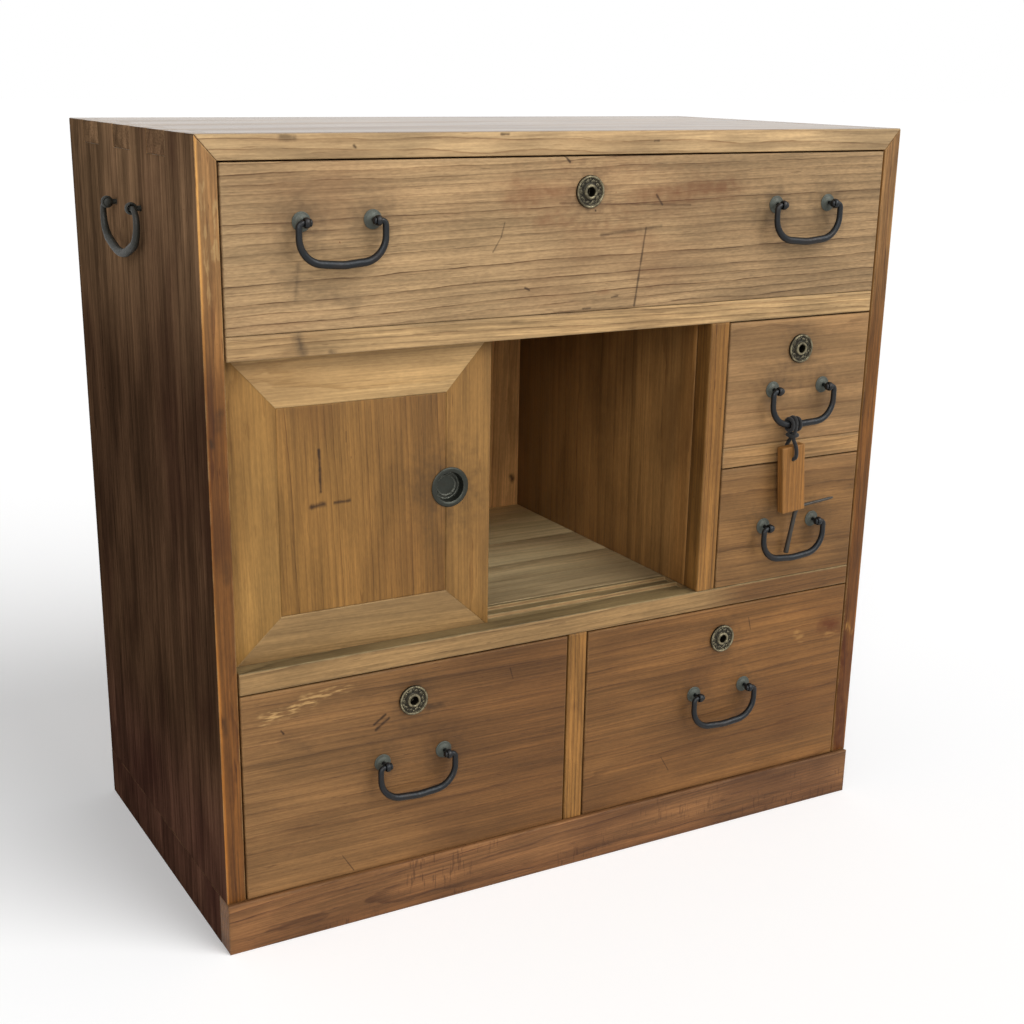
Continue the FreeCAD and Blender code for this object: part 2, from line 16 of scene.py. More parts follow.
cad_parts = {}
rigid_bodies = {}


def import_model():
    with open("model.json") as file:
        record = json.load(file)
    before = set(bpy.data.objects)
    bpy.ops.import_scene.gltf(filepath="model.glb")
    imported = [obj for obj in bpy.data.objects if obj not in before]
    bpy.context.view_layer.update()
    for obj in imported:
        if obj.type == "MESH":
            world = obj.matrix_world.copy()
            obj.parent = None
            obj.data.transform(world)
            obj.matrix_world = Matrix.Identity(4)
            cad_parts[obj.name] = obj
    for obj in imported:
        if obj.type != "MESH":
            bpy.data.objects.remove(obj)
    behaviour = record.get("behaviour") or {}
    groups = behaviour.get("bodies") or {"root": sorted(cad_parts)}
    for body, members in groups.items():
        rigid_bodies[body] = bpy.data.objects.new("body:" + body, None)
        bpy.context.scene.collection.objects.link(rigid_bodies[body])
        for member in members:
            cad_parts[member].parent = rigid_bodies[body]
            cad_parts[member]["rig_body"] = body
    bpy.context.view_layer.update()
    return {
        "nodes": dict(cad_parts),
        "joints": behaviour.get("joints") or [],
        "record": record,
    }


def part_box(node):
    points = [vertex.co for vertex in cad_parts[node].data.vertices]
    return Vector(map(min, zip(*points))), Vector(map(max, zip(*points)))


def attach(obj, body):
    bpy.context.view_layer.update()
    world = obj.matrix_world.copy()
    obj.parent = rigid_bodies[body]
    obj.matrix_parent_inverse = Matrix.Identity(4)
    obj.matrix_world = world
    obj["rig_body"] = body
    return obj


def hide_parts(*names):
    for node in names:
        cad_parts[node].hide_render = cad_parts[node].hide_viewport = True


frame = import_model()

LOG = logging.getLogger("tansu")
MM = 0.001
FRONT_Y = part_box("top_drawer_front")[0].y
UP = Vector((0, 0, 1))
OUT = Vector((0, -1, 0))
RIGHT = Vector((1, 0, 0))
WHITE = (1.0, 1.0, 1.0, 1.0)

# Angles in degrees.
CREASE = 35.0
SOFT_CREASE = 60.0
WORN_ANGLE = 50.0
FLAT_ANGLE = 0.5

# Lengths in millimetres.
POINT_RADIUS = 0.01
CAD_MERGE = 0.002
BAR_MERGE = 0.012
BAIL_MERGE = 0.03
MIRROR_MERGE = 0.05

Rgb = tuple[int, int, int]
Triple = tuple[float, float, float]
Colour = tuple[float, float, float, float]
Ring = tuple[float, float]
Socket = bpy.types.NodeSocket
Piece = bpy.types.Object
Value = Union[float, Sequence[float], Socket]


def srgb(screen: Rgb) -> Colour:
    """Turns a screen colour, with shares from 0 to 255, into an opaque linear one."""
    shares = [share / 255 for share in screen]
    return (*(s / 12.92 if s <= 0.04045 else ((s + 0.055) / 1.055) ** 2.4 for s in shares), 1.0)


class GrainAxis(Enum):
    """The way that a board's grain runs, or that a shade changes."""

    LONGEST = -1
    ACROSS = 0
    DEEP = 1
    UPRIGHT = 2


class MarkKind(Enum):
    """What a mark on a board does to its colour."""

    SCRATCH = "scratch"
    GOUGE = "gouge"
    STAIN = "stain"
    GRIME = "grime"
    KNOT = "knot"


class Noise(Enum):
    """Each noise's waves in a metre, along, across and through a board or on x, y and z, and its layers."""

    FIBRE = ((9, 640, 640), 4)
    FLECK = ((42, 560, 560), 2)
    SLOW_DRIFT = ((2.1, 9, 9), 3)
    QUICK_DRIFT = ((16, 70, 70), 3)
    BREAK = ((26, 240, 240), 4)
    STREAK = ((1.8, 110, 110), 3)
    CLOUD = ((9, 34, 34), 6)
    GRIT = ((190, 760, 760), 3)
    STAIN = ((5, 18, 18), 4)
    TORN = ((70, 420, 420), 4)
    SOAK = ((12, 70, 70), 4)
    BLOTCH = ((6, 6, 6), 5)
    DOT = ((210, 210, 210), 2)
    DOT_GROUP = ((23, 23, 23), 2)
    SAW = ((480, 480, 70), 3)
    SAW_GROUP = ((11, 11, 24), 3)
    RUB = ((55, 55, 55), 4)
    RAGGED = ((160, 160, 160), 3)
    PIT = ((900, 900, 900), 4)
    RUST = ((120, 120, 120), 4)
    YARN = ((1500, 1500, 700), 4)


LONGEST, ACROSS, DEEP, UPRIGHT = GrainAxis
SCRATCH, GOUGE, STAIN, GRIME, KNOT = MarkKind
SCRATCH_DIRT: Rgb = (48, 30, 20)
HAND_GRIME: Rgb = (64, 52, 42)
KNOT_RESIN: Rgb = (100, 48, 12)


@dataclass(frozen=True)
class Mark:
    """One mark on a front: a stroke from one x and z to another, in millimetres."""

    kind: MarkKind
    x: float
    z: float
    end_x: float
    end_z: float
    width: float
    strength: float


@dataclass(frozen=True)
class Shade:
    """A slow change of tone along one axis, from none at the start to all at the end, in millimetres: either a
    board's own change of tone, or painted light and shade where its finish says so.
    """

    axis: GrainAxis
    start: float
    end: float
    tint: Triple


def grime(*spots: tuple[float, float]) -> tuple[Mark, ...]:
    """Grime that has gathered round the ironwork of a front, given by x and z."""
    return tuple(Mark(GRIME, x, z, x + 0.5, z - 3.0, 35.0, 0.6) for x, z in spots)


class NodeSheet:
    """The nodes of one material or world, with a short call for each kind of node."""

    # The flat and rounded normals' dot products where an edge starts and is whole.
    EDGE_STEP = (0.995, 0.86)
    # How far out a mark fades away, and how far out it is whole, in widths.
    MARK_FADE = 1.4
    SHARP_CORE = 0.45
    SOFT_CORE = 0.1

    def __init__(self, owner: Union[bpy.types.Material, bpy.types.World]) -> None:
        """Starts the nodes of a new material or world."""
        owner.use_nodes = True
        self.tree = owner.node_tree

    def add(self, kind: str, **settings: Any) -> bpy.types.Node:
        """Adds a node.

        Args:
            kind: Blender's name of the node.
            settings: Its properties.

        Returns:
            The node.
        """
        node = self.tree.nodes.new(kind)
        for key, value in settings.items():
            setattr(node, key, value)
        return node

    def put(self, socket: Socket, value: Value) -> None:
        """Links a socket to another one, or sets its value.

        Args:
            socket: The socket that takes the value.
            value: Another node's output, or a plain value.
        """
        if isinstance(value, Socket):
            self.tree.links.new(value, socket)
        else:
            socket.default_value = value

    def surface(self, **sockets: Value) -> None:
        """Sets the shader's sockets, named with underscores for spaces."""
        for key, value in sockets.items():
            self.put(self.tree.nodes["Principled BSDF"].inputs[key.replace("_", " ")], value)

    def math(self, operation: str, first: Value, *others: Value) -> Socket:
        """Works out a number, taking in one term after another.

        Args:
            operation: Blender's name of the operation.
            first, others: Its terms.

        Returns:
            The number's socket.
        """
        for other in others or (0.0,):
            node = self.add("ShaderNodeMath", operation=operation)
            self.put(node.inputs[0], first)
            self.put(node.inputs[1], other)
            first = node.outputs[0]
        return first

    def times(self, *factors: Value) -> Socket:
        """The product of two factors or more."""
        return self.math("MULTIPLY", *factors)

    def vector(self, operation: str, first: Value, second: Value = (0, 0, 0)) -> Socket:
        """Works out a vector, or a length or dot product.

        Args:
            operation: Blender's name of the operation.
            first, second: Its terms.

        Returns:
            The result's socket.
        """
        node = self.add("ShaderNodeVectorMath", operation=operation)
        self.put(node.inputs[0], first)
        self.put(node.inputs[1], second)
        return node.outputs["Value" if operation in ("LENGTH", "DOT_PRODUCT") else "Vector"]

    def noise(self, place: Socket, kind: Noise) -> Socket:
        """Noise from 0 to 1.

        Args:
            place: Where it is read.
            kind: Its waves and layers.

        Returns:
            The noise's socket.
        """
        waves, layers = kind.value
        node = self.add("ShaderNodeTexNoise")
        self.put(node.inputs["Vector"], self.vector("MULTIPLY", place, waves))
        node.inputs["Scale"].default_value = 1.0
        node.inputs["Detail"].default_value = layers
        return node.outputs["Fac"]

    def between(self, value: Value, low: float, high: float, start: float = 0.0, end: float = 1.0,
                curve: str = "SMOOTHSTEP") -> Socket:
        """A step, smooth unless told otherwise.

        Args:
            value: The number that drives it.
            low, high: Where it starts and ends.
            start, end: Its values there.
            curve: Blender's name of the way between them.

        Returns:
            The step's socket.
        """
        node = self.add("ShaderNodeMapRange", interpolation_type=curve)
        self.put(node.inputs["Value"], value)
        for key, number in (("From Min", low), ("From Max", high), ("To Min", start), ("To Max", end)):
            node.inputs[key].default_value = number
        return node.outputs["Result"]

    def patches(self, place: Socket, kind: Noise, low: float, high: float, start: float = 0.0,
                end: float = 1.0) -> Socket:
        """Noise cut by a smooth step, with the terms of noise and between."""
        return self.between(self.noise(place, kind), low, high, start, end)

    def mix(self, share: Value, first: Value, second: Value, blend: str = "MIX") -> Socket:
        """Mixes two colours.

        Args:
            share: How much of the second shows.
            first, second: The colours.
            blend: Blender's name of the way they mix.

        Returns:
            The colour's socket.
        """
        node = self.add("ShaderNodeMix", data_type="RGBA", blend_type=blend)
        for index, value in ((0, share), (6, first), (7, second)):
            self.put(node.inputs[index], value)
        return node.outputs[2]

    @cached_property
    def place(self) -> Socket:
        """The point on the piece, in the frame."""
        return self.add("ShaderNodeTexCoord").outputs["Object"]

    @cached_property
    def grain(self) -> Socket:
        """The point along, across and through its board, from the pith."""
        return self.add("ShaderNodeAttribute", attribute_name="grain").outputs["Vector"]

    def along(self, axis: GrainAxis) -> Socket:
        """The point's place along one axis.

        Args:
            axis: The axis.

        Returns:
            The place's socket.
        """
        parts = self.add("ShaderNodeSeparateXYZ")
        self.put(parts.inputs[0], self.place)
        return parts.outputs[axis.value]

    def bump(self, height: Value, depth: float) -> Socket:
        """A normal bent by a height.

        Args:
            height: The height, from 0 to 1.
            depth: What a height of 1 stands for.

        Returns:
            The normal's socket.
        """
        node = self.add("ShaderNodeBump")
        node.inputs["Distance"].default_value = depth
        self.put(node.inputs["Height"], height)
        return node.outputs["Normal"]

    def worn_normal(self, radius: float, height: Value, depth: float) -> tuple[Socket, Socket]:
        """A normal with the piece's edges rounded and a height on it.

        Args:
            radius: The edges' radius.
            height: The height, from 0 to 1.
            depth: What a height of 1 stands for.

        Returns:
            The normal's socket, and how near a point is to an edge, from 0 to 1.
        """
        rounded = self.add("ShaderNodeBevel", samples=4)
        rounded.inputs["Radius"].default_value = radius
        flat = self.add("ShaderNodeNewGeometry").outputs["Normal"]
        edges = self.between(self.vector("DOT_PRODUCT", rounded.outputs["Normal"], flat), *self.EDGE_STEP)
        normal = self.bump(height, depth)
        self.put(normal.node.inputs["Normal"], rounded.outputs["Normal"])
        return normal, edges

    def stroke(self, mark: Mark) -> Socket:
        """Where a mark lies on its board.

        Args:
            mark: The mark.

        Returns:
            A mask from 0 to 1.
        """
        start = Vector((mark.x, 0, mark.z)) * MM
        along = Vector((mark.end_x, 0, mark.end_z)) * MM - start
        width = mark.width * MM
        from_start = self.vector("SUBTRACT", self.vector("MULTIPLY", self.place, (1, 0, 1)), start)
        reach = self.math("DIVIDE", self.vector("DOT_PRODUCT", from_start, along), along.length_squared)
        nearest = self.add("ShaderNodeVectorMath", operation="SCALE")
        self.put(nearest.inputs[0], along)
        self.put(nearest.inputs["Scale"], self.between(reach, 0.0, 1.0, curve="LINEAR"))
        gap = self.vector("LENGTH", self.vector("SUBTRACT", from_start, nearest.outputs["Vector"]))
        gap = self.math("ADD", gap, self.times(self.noise(self.place, Noise.RAGGED), width))
        core = self.SHARP_CORE if mark.kind in (SCRATCH, GOUGE) else self.SOFT_CORE
        return self.times(self.between(gap, width * self.MARK_FADE, width * core), mark.strength)

    def shown(self) -> Socket:
        """1 for rays from the camera, in reflections and through glass, and 0 for the others."""
        rays = self.add("ShaderNodeLightPath").outputs
        return self.math("MAXIMUM", *(rays[f"Is {ray} Ray"] for ray in ("Camera", "Glossy", "Transmission")))


@dataclass(frozen=True)
class WoodFinish:
    """One wood and the way that it has aged, with painted light and shade in some of its tints and shades.
    Lengths in millimetres.
    """

    name: str
    early: Rgb
    late: Rgb
    stain: Rgb
    worn: Rgb
    ring_spacing: float = 7.0
    line_share: float = 0.6
    band_share: float = 0.4
    wander: float = 14.0
    fibre_share: float = 0.5
    mottle_share: float = 0.5
    grit_share: float = 0.07
    stain_share: float = 0.35
    worn_share: float = 0.6
    roughness: float = 0.52
    specular: float = 0.2
    coat: float = 0.0
    coat_roughness: float = 0.2
    relief: float = 0.25
    saw_share: float = 0.0
    tint: Triple = (1.0, 1.0, 1.0)
    marks: tuple[Mark, ...] = ()
    shades: tuple[Shade, ...] = ()
    edge_radius: float = 2.4

    def dress(self, sheet: NodeSheet) -> None:
        """Lays growth rings about the board's pith, fibres, stains, marks, shades and worn edges.

        Args:
            sheet: The material's nodes.
        """
        early, late, stain, worn = (srgb(part) for part in (self.early, self.late, self.stain, self.worn))
        band, line = self._rings(sheet)
        fibre = sheet.noise(sheet.grain, Noise.FIBRE)
        fleck = sheet.patches(sheet.grain, Noise.FLECK, 0.66, 0.74)
        colour = sheet.mix(sheet.times(band, self.band_share), early, late)
        colour = sheet.mix(sheet.times(line, self.line_share), colour, late)
        colour = sheet.mix(1.0, colour, self._brightness(sheet, fibre), "MULTIPLY")
        colour = sheet.mix(sheet.times(fleck, self.fibre_share * 0.8), colour, late)
        colour = sheet.mix(self._stains(sheet), colour, stain)
        for mark in self.marks:
            colour = self._marked(sheet, colour, mark)
        for shade in self.shades:
            share = sheet.between(sheet.along(shade.axis), shade.start * MM, shade.end * MM)
            colour = sheet.mix(share, colour, (*shade.tint, 1.0), "MULTIPLY")
        height = sheet.math("ADD", sheet.times(fibre, 0.7), sheet.times(band, 0.4))
        height = sheet.math("SUBTRACT", height, sheet.times(fleck, 0.45))
        normal, edges = sheet.worn_normal(self.edge_radius * MM, height, self.relief * MM)
        rubbed = sheet.patches(sheet.place, Noise.RUB, 0.36, 0.62, 0.15, 1.0)
        colour = sheet.mix(sheet.times(edges, rubbed, self.worn_share), colour, worn)
        sheet.surface(
            Base_Color=sheet.mix(1.0, colour, (*self.tint, 1.0), "MULTIPLY"), Normal=normal,
            Roughness=sheet.between(fibre, 0.2, 0.8, self.roughness - 0.07, self.roughness + 0.1),
            Specular_IOR_Level=self.specular, Coat_Weight=self.coat, Coat_Roughness=self.coat_roughness,
        )

    def _rings(self, sheet: NodeSheet) -> tuple[Socket, Socket]:
        """The growth rings: a slow darkening through each ring, and the thin dark line that ends it.

        Args:
            sheet: The material's nodes.

        Returns:
            Masks from 0 to 1 of the darkening and of the line.
        """
        radius = sheet.vector("LENGTH", sheet.vector("MULTIPLY", sheet.grain, (0, 1, 1)))
        for kind, reach in ((Noise.SLOW_DRIFT, self.wander), (Noise.QUICK_DRIFT, self.ring_spacing * 0.7)):
            drift = sheet.math("SUBTRACT", sheet.noise(sheet.grain, kind), 0.5)
            radius = sheet.math("ADD", radius, sheet.times(drift, reach * MM))
        phase = sheet.math("DIVIDE", radius, self.ring_spacing * MM)
        tooth = sheet.math("FRACT", phase)
        ring = sheet.add("ShaderNodeTexWhiteNoise", noise_dimensions="1D")
        sheet.put(ring.inputs["W"], sheet.math("FLOOR", phase))
        depth = sheet.between(ring.outputs["Value"], 0.0, 1.0, 0.3, 1.0)
        fall = sheet.between(tooth, 1.0, 0.97)
        broken = sheet.patches(sheet.grain, Noise.BREAK, 0.4, 0.58, 0.15, 1.0)
        band = sheet.times(sheet.between(tooth, 0.3, 0.98), fall, depth)
        return band, sheet.times(sheet.between(tooth, 0.83, 0.93), fall, depth, broken)

    def _brightness(self, sheet: NodeSheet, fibre: Socket) -> Socket:
        """Light and dark fibres and mottling, with the board's own tone, as a grey to multiply by.

        Args:
            sheet: The material's nodes.
            fibre: The fine fibres.

        Returns:
            The grey's socket.
        """
        share, cloudy, grit = self.fibre_share, self.mottle_share, self.grit_share
        tone = sheet.times(
            sheet.patches(sheet.grain, Noise.STREAK, 0.3, 0.72, 1 - share * 0.22, 1 + share * 0.18),
            sheet.between(fibre, 0.25, 0.75, 1 - share * 0.4, 1 + share * 0.34),
            sheet.add("ShaderNodeAttribute", attribute_name="tone").outputs["Fac"],
            sheet.patches(sheet.grain, Noise.CLOUD, 0.32, 0.68, 1 - cloudy * 0.34, 1 + cloudy * 0.28),
            sheet.patches(sheet.grain, Noise.GRIT, 0.3, 0.7, 1 - grit, 1 + grit),
        )
        grey = sheet.add("ShaderNodeCombineColor")
        for socket in grey.inputs:
            sheet.put(socket, tone)
        return grey.outputs["Color"]

    def _stains(self, sheet: NodeSheet) -> Socket:
        """Broad stains, scattered specks and saw marks.

        Args:
            sheet: The material's nodes.

        Returns:
            A mask from 0 to 1.
        """
        place = sheet.place
        blotch = sheet.patches(place, Noise.BLOTCH, 0.42, 0.68)
        broad = sheet.times(blotch, sheet.patches(sheet.grain, Noise.STAIN, 0.36, 0.66), self.stain_share)
        speck = sheet.patches(place, Noise.DOT, 0.74, 0.8)
        speck = sheet.times(speck, sheet.patches(place, Noise.DOT_GROUP, 0.42, 0.62), 0.85)
        stains = [broad, speck]
        if self.saw_share:
            saw = sheet.patches(place, Noise.SAW, 0.54, 0.66)
            stains.append(sheet.times(saw, sheet.patches(place, Noise.SAW_GROUP, 0.44, 0.6), self.saw_share))
        return sheet.math("MAXIMUM", *stains)

    def _marked(self, sheet: NodeSheet, colour: Value, mark: Mark) -> Socket:
        """Lays one mark over a colour.

        Args:
            sheet: The material's nodes.
            colour: The colour so far.
            mark: The mark.

        Returns:
            The colour's socket.
        """
        tints = {
            SCRATCH: SCRATCH_DIRT, GOUGE: self.worn, STAIN: self.stain, GRIME: HAND_GRIME, KNOT: KNOT_RESIN,
        }
        mask = sheet.stroke(mark)
        if mark.kind is GOUGE:
            mask = sheet.times(mask, sheet.patches(sheet.grain, Noise.TORN, 0.46, 0.6))
        elif mark.kind in (STAIN, KNOT):
            mask = sheet.times(mask, sheet.patches(sheet.grain, Noise.SOAK, 0.3, 0.62, 0.25, 1.0))
        return sheet.mix(mask, colour, srgb(tints[mark.kind]))


@dataclass(frozen=True)
class MetalFinish:
    """Old iron or bronze: a dark skin, worn bright on edges. Lengths in millimetres.

    What is raised above the drawer fronts, from one height to another, is worn bright too.
    """

    name: str
    skin: Rgb
    bright: Rgb
    rust: Rgb
    metallic: float = 0.7
    roughness: float = 0.42
    pitting: float = 0.12
    rust_share: float = 0.35
    bright_share: float = 0.5
    raised: Optional[tuple[float, float]] = None
    edge_radius: float = 0.8

    def dress(self, sheet: NodeSheet) -> None:
        """Lays the finish.

        Args:
            sheet: The material's nodes.
        """
        pits = sheet.noise(sheet.place, Noise.PIT)
        hammer = sheet.noise(sheet.place, Noise.DOT)
        rust = sheet.times(sheet.patches(sheet.place, Noise.RUST, 0.46, 0.66), self.rust_share)
        height = sheet.math("ADD", sheet.times(pits, 0.5), hammer)
        normal, lifted = sheet.worn_normal(self.edge_radius * MM, height, self.pitting * MM)
        if self.raised:
            faces = (FRONT_Y - rise * MM for rise in self.raised)
            lifted = sheet.math("MAXIMUM", lifted, sheet.between(sheet.along(DEEP), *faces))
        rubbed = sheet.times(lifted, sheet.between(hammer, 0.35, 0.6, 0.3, 1.0), self.bright_share)
        colour = sheet.mix(rust, srgb(self.skin), srgb(self.rust))
        sheet.surface(
            Base_Color=sheet.mix(rubbed, colour, srgb(self.bright)), Metallic=self.metallic, Normal=normal,
            Roughness=sheet.between(pits, 0.3, 0.7, self.roughness - 0.08, self.roughness + 0.14),
        )


@dataclass(frozen=True)
class CordFinish:
    """A black cotton cord with its twist."""

    name: str
    dark: Rgb
    light: Rgb

    def dress(self, sheet: NodeSheet) -> None:
        """Lays the finish.

        Args:
            sheet: The material's nodes.
        """
        yarn = sheet.noise(sheet.place, Noise.YARN)
        sheet.surface(
            Base_Color=sheet.mix(sheet.between(yarn, 0.4, 0.75), srgb(self.dark), srgb(self.light)),
            Roughness=0.92, Sheen_Weight=0.1, Normal=sheet.bump(yarn, 0.25 * MM),
        )


FRONT_PULL_GRIME = Mark(GRIME, -117, 361, -116, 358, 62.0, 0.75)
REAR_PULL_GRIME = replace(FRONT_PULL_GRIME, x=-267, end_x=-266)


class Finishes(Enum):
    """Every finish of the chest."""

    TOP_FRONT = WoodFinish(
        "honey_front", (196, 162, 120), (104, 74, 46), (134, 86, 56), (206, 174, 132),
        ring_spacing=6.8, line_share=1.0, band_share=0.42, grit_share=0.12, stain_share=0.4,
        tint=(0.65, 0.64, 0.6),
        marks=(
            Mark(SCRATCH, 55, 560, 46.5, 498, 1.8, 0.75), Mark(SCRATCH, -76, 569, -79, 558, 1.3, 0.6),
            Mark(SCRATCH, -79, 558, -86, 547, 1.2, 0.6), Mark(SCRATCH, -27, 582, 98, 577, 1.6, 0.5),
            Mark(GRIME, -256, 534, -204, 516, 19.0, 0.4), Mark(GRIME, -246, 545, -249, 520, 4.0, 0.5),
            Mark(STAIN, -60, 592, 130, 588, 34.0, 0.8), Mark(STAIN, -44, 566, 60, 552, 14.0, 0.6),
            Mark(SCRATCH, 12, 556, 70, 561, 2.6, 0.5), Mark(SCRATCH, 64, 586, 70, 578, 1.6, 0.7),
            Mark(SCRATCH, -23, 617, -19, 613, 1.8, 0.9), Mark(SCRATCH, -57, 518, -53, 516, 1.6, 0.8),
            Mark(SCRATCH, -3, 498.5, 4, 498.5, 1.6, 0.8), Mark(SCRATCH, 24, 506, 30, 507, 1.5, 0.8),
            Mark(SCRATCH, 6, 575.5, 6.3, 575, 1.3, 0.9), Mark(STAIN, 12, 511, 20, 511, 5.0, 0.9),
            *grime((-243, 575), (-187, 575), (187, 575), (243, 575), (0, 590)),
        ),
        shades=(Shade(ACROSS, 0, 160, (0.78, 0.77, 0.77)),),
    )
    TOP_EDGE = WoodFinish(
        "pale_edge", (204, 172, 130), (136, 102, 68), (150, 110, 74), (216, 186, 142),
        ring_spacing=6.0, line_share=0.8, mottle_share=0.7, stain_share=0.4, tint=(0.68, 0.665, 0.615),
        marks=(
            Mark(SCRATCH, -256, 634, -247, 633, 5.0, 0.55), Mark(SCRATCH, -201, 627, -200, 626, 2.2, 0.8),
            Mark(SCRATCH, -80, 634, -74, 634, 2.4, 0.8), Mark(SCRATCH, 60, 628, 64, 628, 2.0, 0.8),
        ),
    )
    TOP_FACE = WoodFinish(
        "polished_top", (150, 116, 80), (96, 66, 42), (88, 56, 36), (196, 164, 124), ring_spacing=8.0,
        # Painted reflection: the tint turns the top's wood grey-blue, like the pale surround seen in it, on
        # top of the coat's own reflection.
        roughness=0.34, specular=0.5, coat=0.36, coat_roughness=0.15, relief=0.06, tint=(0.8, 0.88, 0.96),
    )
    RAIL = WoodFinish(
        "honey_rail", (190, 156, 112), (112, 82, 52), (118, 82, 52), (208, 176, 134), ring_spacing=5.0,
        line_share=0.85, fibre_share=0.7, mottle_share=0.8, stain_share=0.5, tint=(0.74, 0.73, 0.68),
        marks=(Mark(GRIME, -248, 494, -244, 480, 7.0, 0.75), Mark(GRIME, -222, 480, -219, 478, 4.5, 0.7)),
        shades=(Shade(UPRIGHT, 440, 400, (0.68, 0.6, 0.52)),),
    )
    SILL = WoodFinish(
        "worn_sill", (164, 130, 92), (92, 66, 42), (84, 62, 40), (190, 160, 120),
        ring_spacing=5.0, line_share=0.7, stain_share=0.5, worn_share=0.85, tint=(0.75, 0.74, 0.62),
        shades=(Shade(ACROSS, 120, 190, (0.47, 0.37, 0.3)),),
    )
    SILL_TOP = WoodFinish(
        "sill_top", (150, 132, 98), (92, 78, 56), (86, 74, 54), (206, 190, 150),
        ring_spacing=4.0, line_share=0.7, stain_share=0.5, worn_share=0.9, tint=(0.71, 0.66, 0.56),
    )
    POST = WoodFinish(
        "amber_post", (166, 122, 74), (98, 60, 30), (88, 52, 26), (190, 150, 102),
        ring_spacing=4.0, line_share=0.8, fibre_share=0.8, mottle_share=0.8, tint=(0.62, 0.57, 0.4),
        marks=(Mark(STAIN, 1, 150, 1, 154, 5.0, 1.0),),
        shades=(Shade(UPRIGHT, 230, 300, (0.88, 0.87, 0.86)),),
    )
    DOOR_RAIL = WoodFinish(
        "door_rail", (180, 144, 98), (132, 98, 58), (126, 88, 50), (196, 160, 112),
        ring_spacing=6.0, line_share=0.4, band_share=0.3, stain_share=0.25, tint=(1.05, 1.09, 1.07),
        shades=(Shade(UPRIGHT, 440, 290, (0.49, 0.46, 0.42)),),
    )
    DOOR_STILE = WoodFinish(
        "door_stile", (180, 142, 94), (128, 90, 50), (116, 76, 40), (196, 160, 112),
        ring_spacing=6.0, line_share=0.35, band_share=0.25, stain_share=0.3, tint=(0.61, 0.55, 0.36),
        marks=(FRONT_PULL_GRIME,), shades=(Shade(ACROSS, -170, -115, (0.8, 0.77, 0.8)),),
    )
    DOOR_PANEL = WoodFinish(
        "door_panel", (156, 116, 68), (90, 58, 30), (100, 64, 34), (176, 138, 90), ring_spacing=4.2,
        line_share=0.62, band_share=0.3, wander=9.0, mottle_share=0.7, stain_share=0.4,
        tint=(0.8, 0.76, 0.58),
        marks=(
            Mark(SCRATCH, -225.8, 402, -224.8, 369, 2.1, 0.95),
            Mark(SCRATCH, -232.6, 357.5, -222, 359, 3.8, 0.9),
            Mark(SCRATCH, -213.4, 359, -200.7, 359, 2.4, 0.8), Mark(SCRATCH, -203, 414, -203, 406, 1.2, 0.5),
            FRONT_PULL_GRIME,
        ),
        shades=(Shade(ACROSS, -270, -110, (0.75, 0.72, 0.74)),),
    )
    REAR_STILE = replace(DOOR_STILE, name="rear_stile", marks=(REAR_PULL_GRIME,), shades=())
    REAR_PANEL = replace(DOOR_PANEL, name="rear_panel", marks=(REAR_PULL_GRIME,), shades=())
    SMALL_FRONT = WoodFinish(
        "small_front", (166, 131, 92), (104, 74, 48), (102, 70, 44), (188, 154, 112),
        ring_spacing=8.0, line_share=0.45, band_share=0.3, mottle_share=0.7, tint=(0.72, 0.68, 0.6),
        marks=grime((197, 415), (253, 415), (197, 290), (253, 290), (225, 450)),
        shades=(Shade(UPRIGHT, 380, 320, (0.66, 0.59, 0.48)),),
    )
    LOWER_FRONT = WoodFinish(
        "lower_front", (152, 115, 78), (92, 61, 38), (88, 54, 34), (214, 176, 126), ring_spacing=7.5,
        line_share=0.42, band_share=0.25, fibre_share=0.6, mottle_share=0.6, stain_share=0.42,
        # The dark tint is partly the wood's own tone and partly painted shade, for weaker light low on the
        # chest.
        worn_share=0.45, tint=(0.6, 0.555, 0.445),
        marks=(
            Mark(GOUGE, -286, 196, -244, 204, 8.0, 1.0), Mark(GOUGE, -250, 208, -213, 211, 7.0, 0.9),
            Mark(SCRATCH, -189, 169, -177, 177, 2.4, 0.85), Mark(SCRATCH, -190, 174, -180, 181, 2.0, 0.85),
            Mark(GRIME, -141, 180, -127, 180, 6.0, 0.7), Mark(GRIME, -267, 176, -248, 166, 10.0, 0.35),
            Mark(SCRATCH, -270, 185, -268, 182, 1.6, 0.9), Mark(SCRATCH, -220, 63, -210, 47, 0.9, 0.7),
            Mark(SCRATCH, -64, 200, -61, 190, 1.2, 0.6), Mark(SCRATCH, 97, 83, 106, 68, 0.9, 0.6),
            Mark(SCRATCH, 188, 204, 191, 192, 1.0, 0.7), Mark(KNOT, 281, 182, 294, 178, 16.0, 0.95),
            Mark(GOUGE, 246, 182, 252, 172, 8.0, 0.4), Mark(GOUGE, 284, 171, 293, 170, 7.0, 0.4),
            *grime((-183, 138), (-127, 138), (130, 138), (186, 138), (-155, 188), (158, 188)),
        ),
        shades=(
            Shade(ACROSS, -300, -20, (0.66, 0.57, 0.48)), Shade(ACROSS, 0, 20, (1.3, 1.36, 1.38)),
            Shade(ACROSS, 20, 300, (1.16, 1.14, 1.06)),
        ),
    )
    PLINTH = WoodFinish(
        "plinth", (140, 103, 72), (86, 56, 38), (74, 46, 32), (178, 142, 106), ring_spacing=5.0,
        line_share=0.8, fibre_share=0.7, mottle_share=0.8, stain_share=0.55, relief=0.5, saw_share=0.6,
        tint=(0.69, 0.605, 0.455), shades=(Shade(UPRIGHT, 24, 2, (0.78, 0.73, 0.7)),),
    )
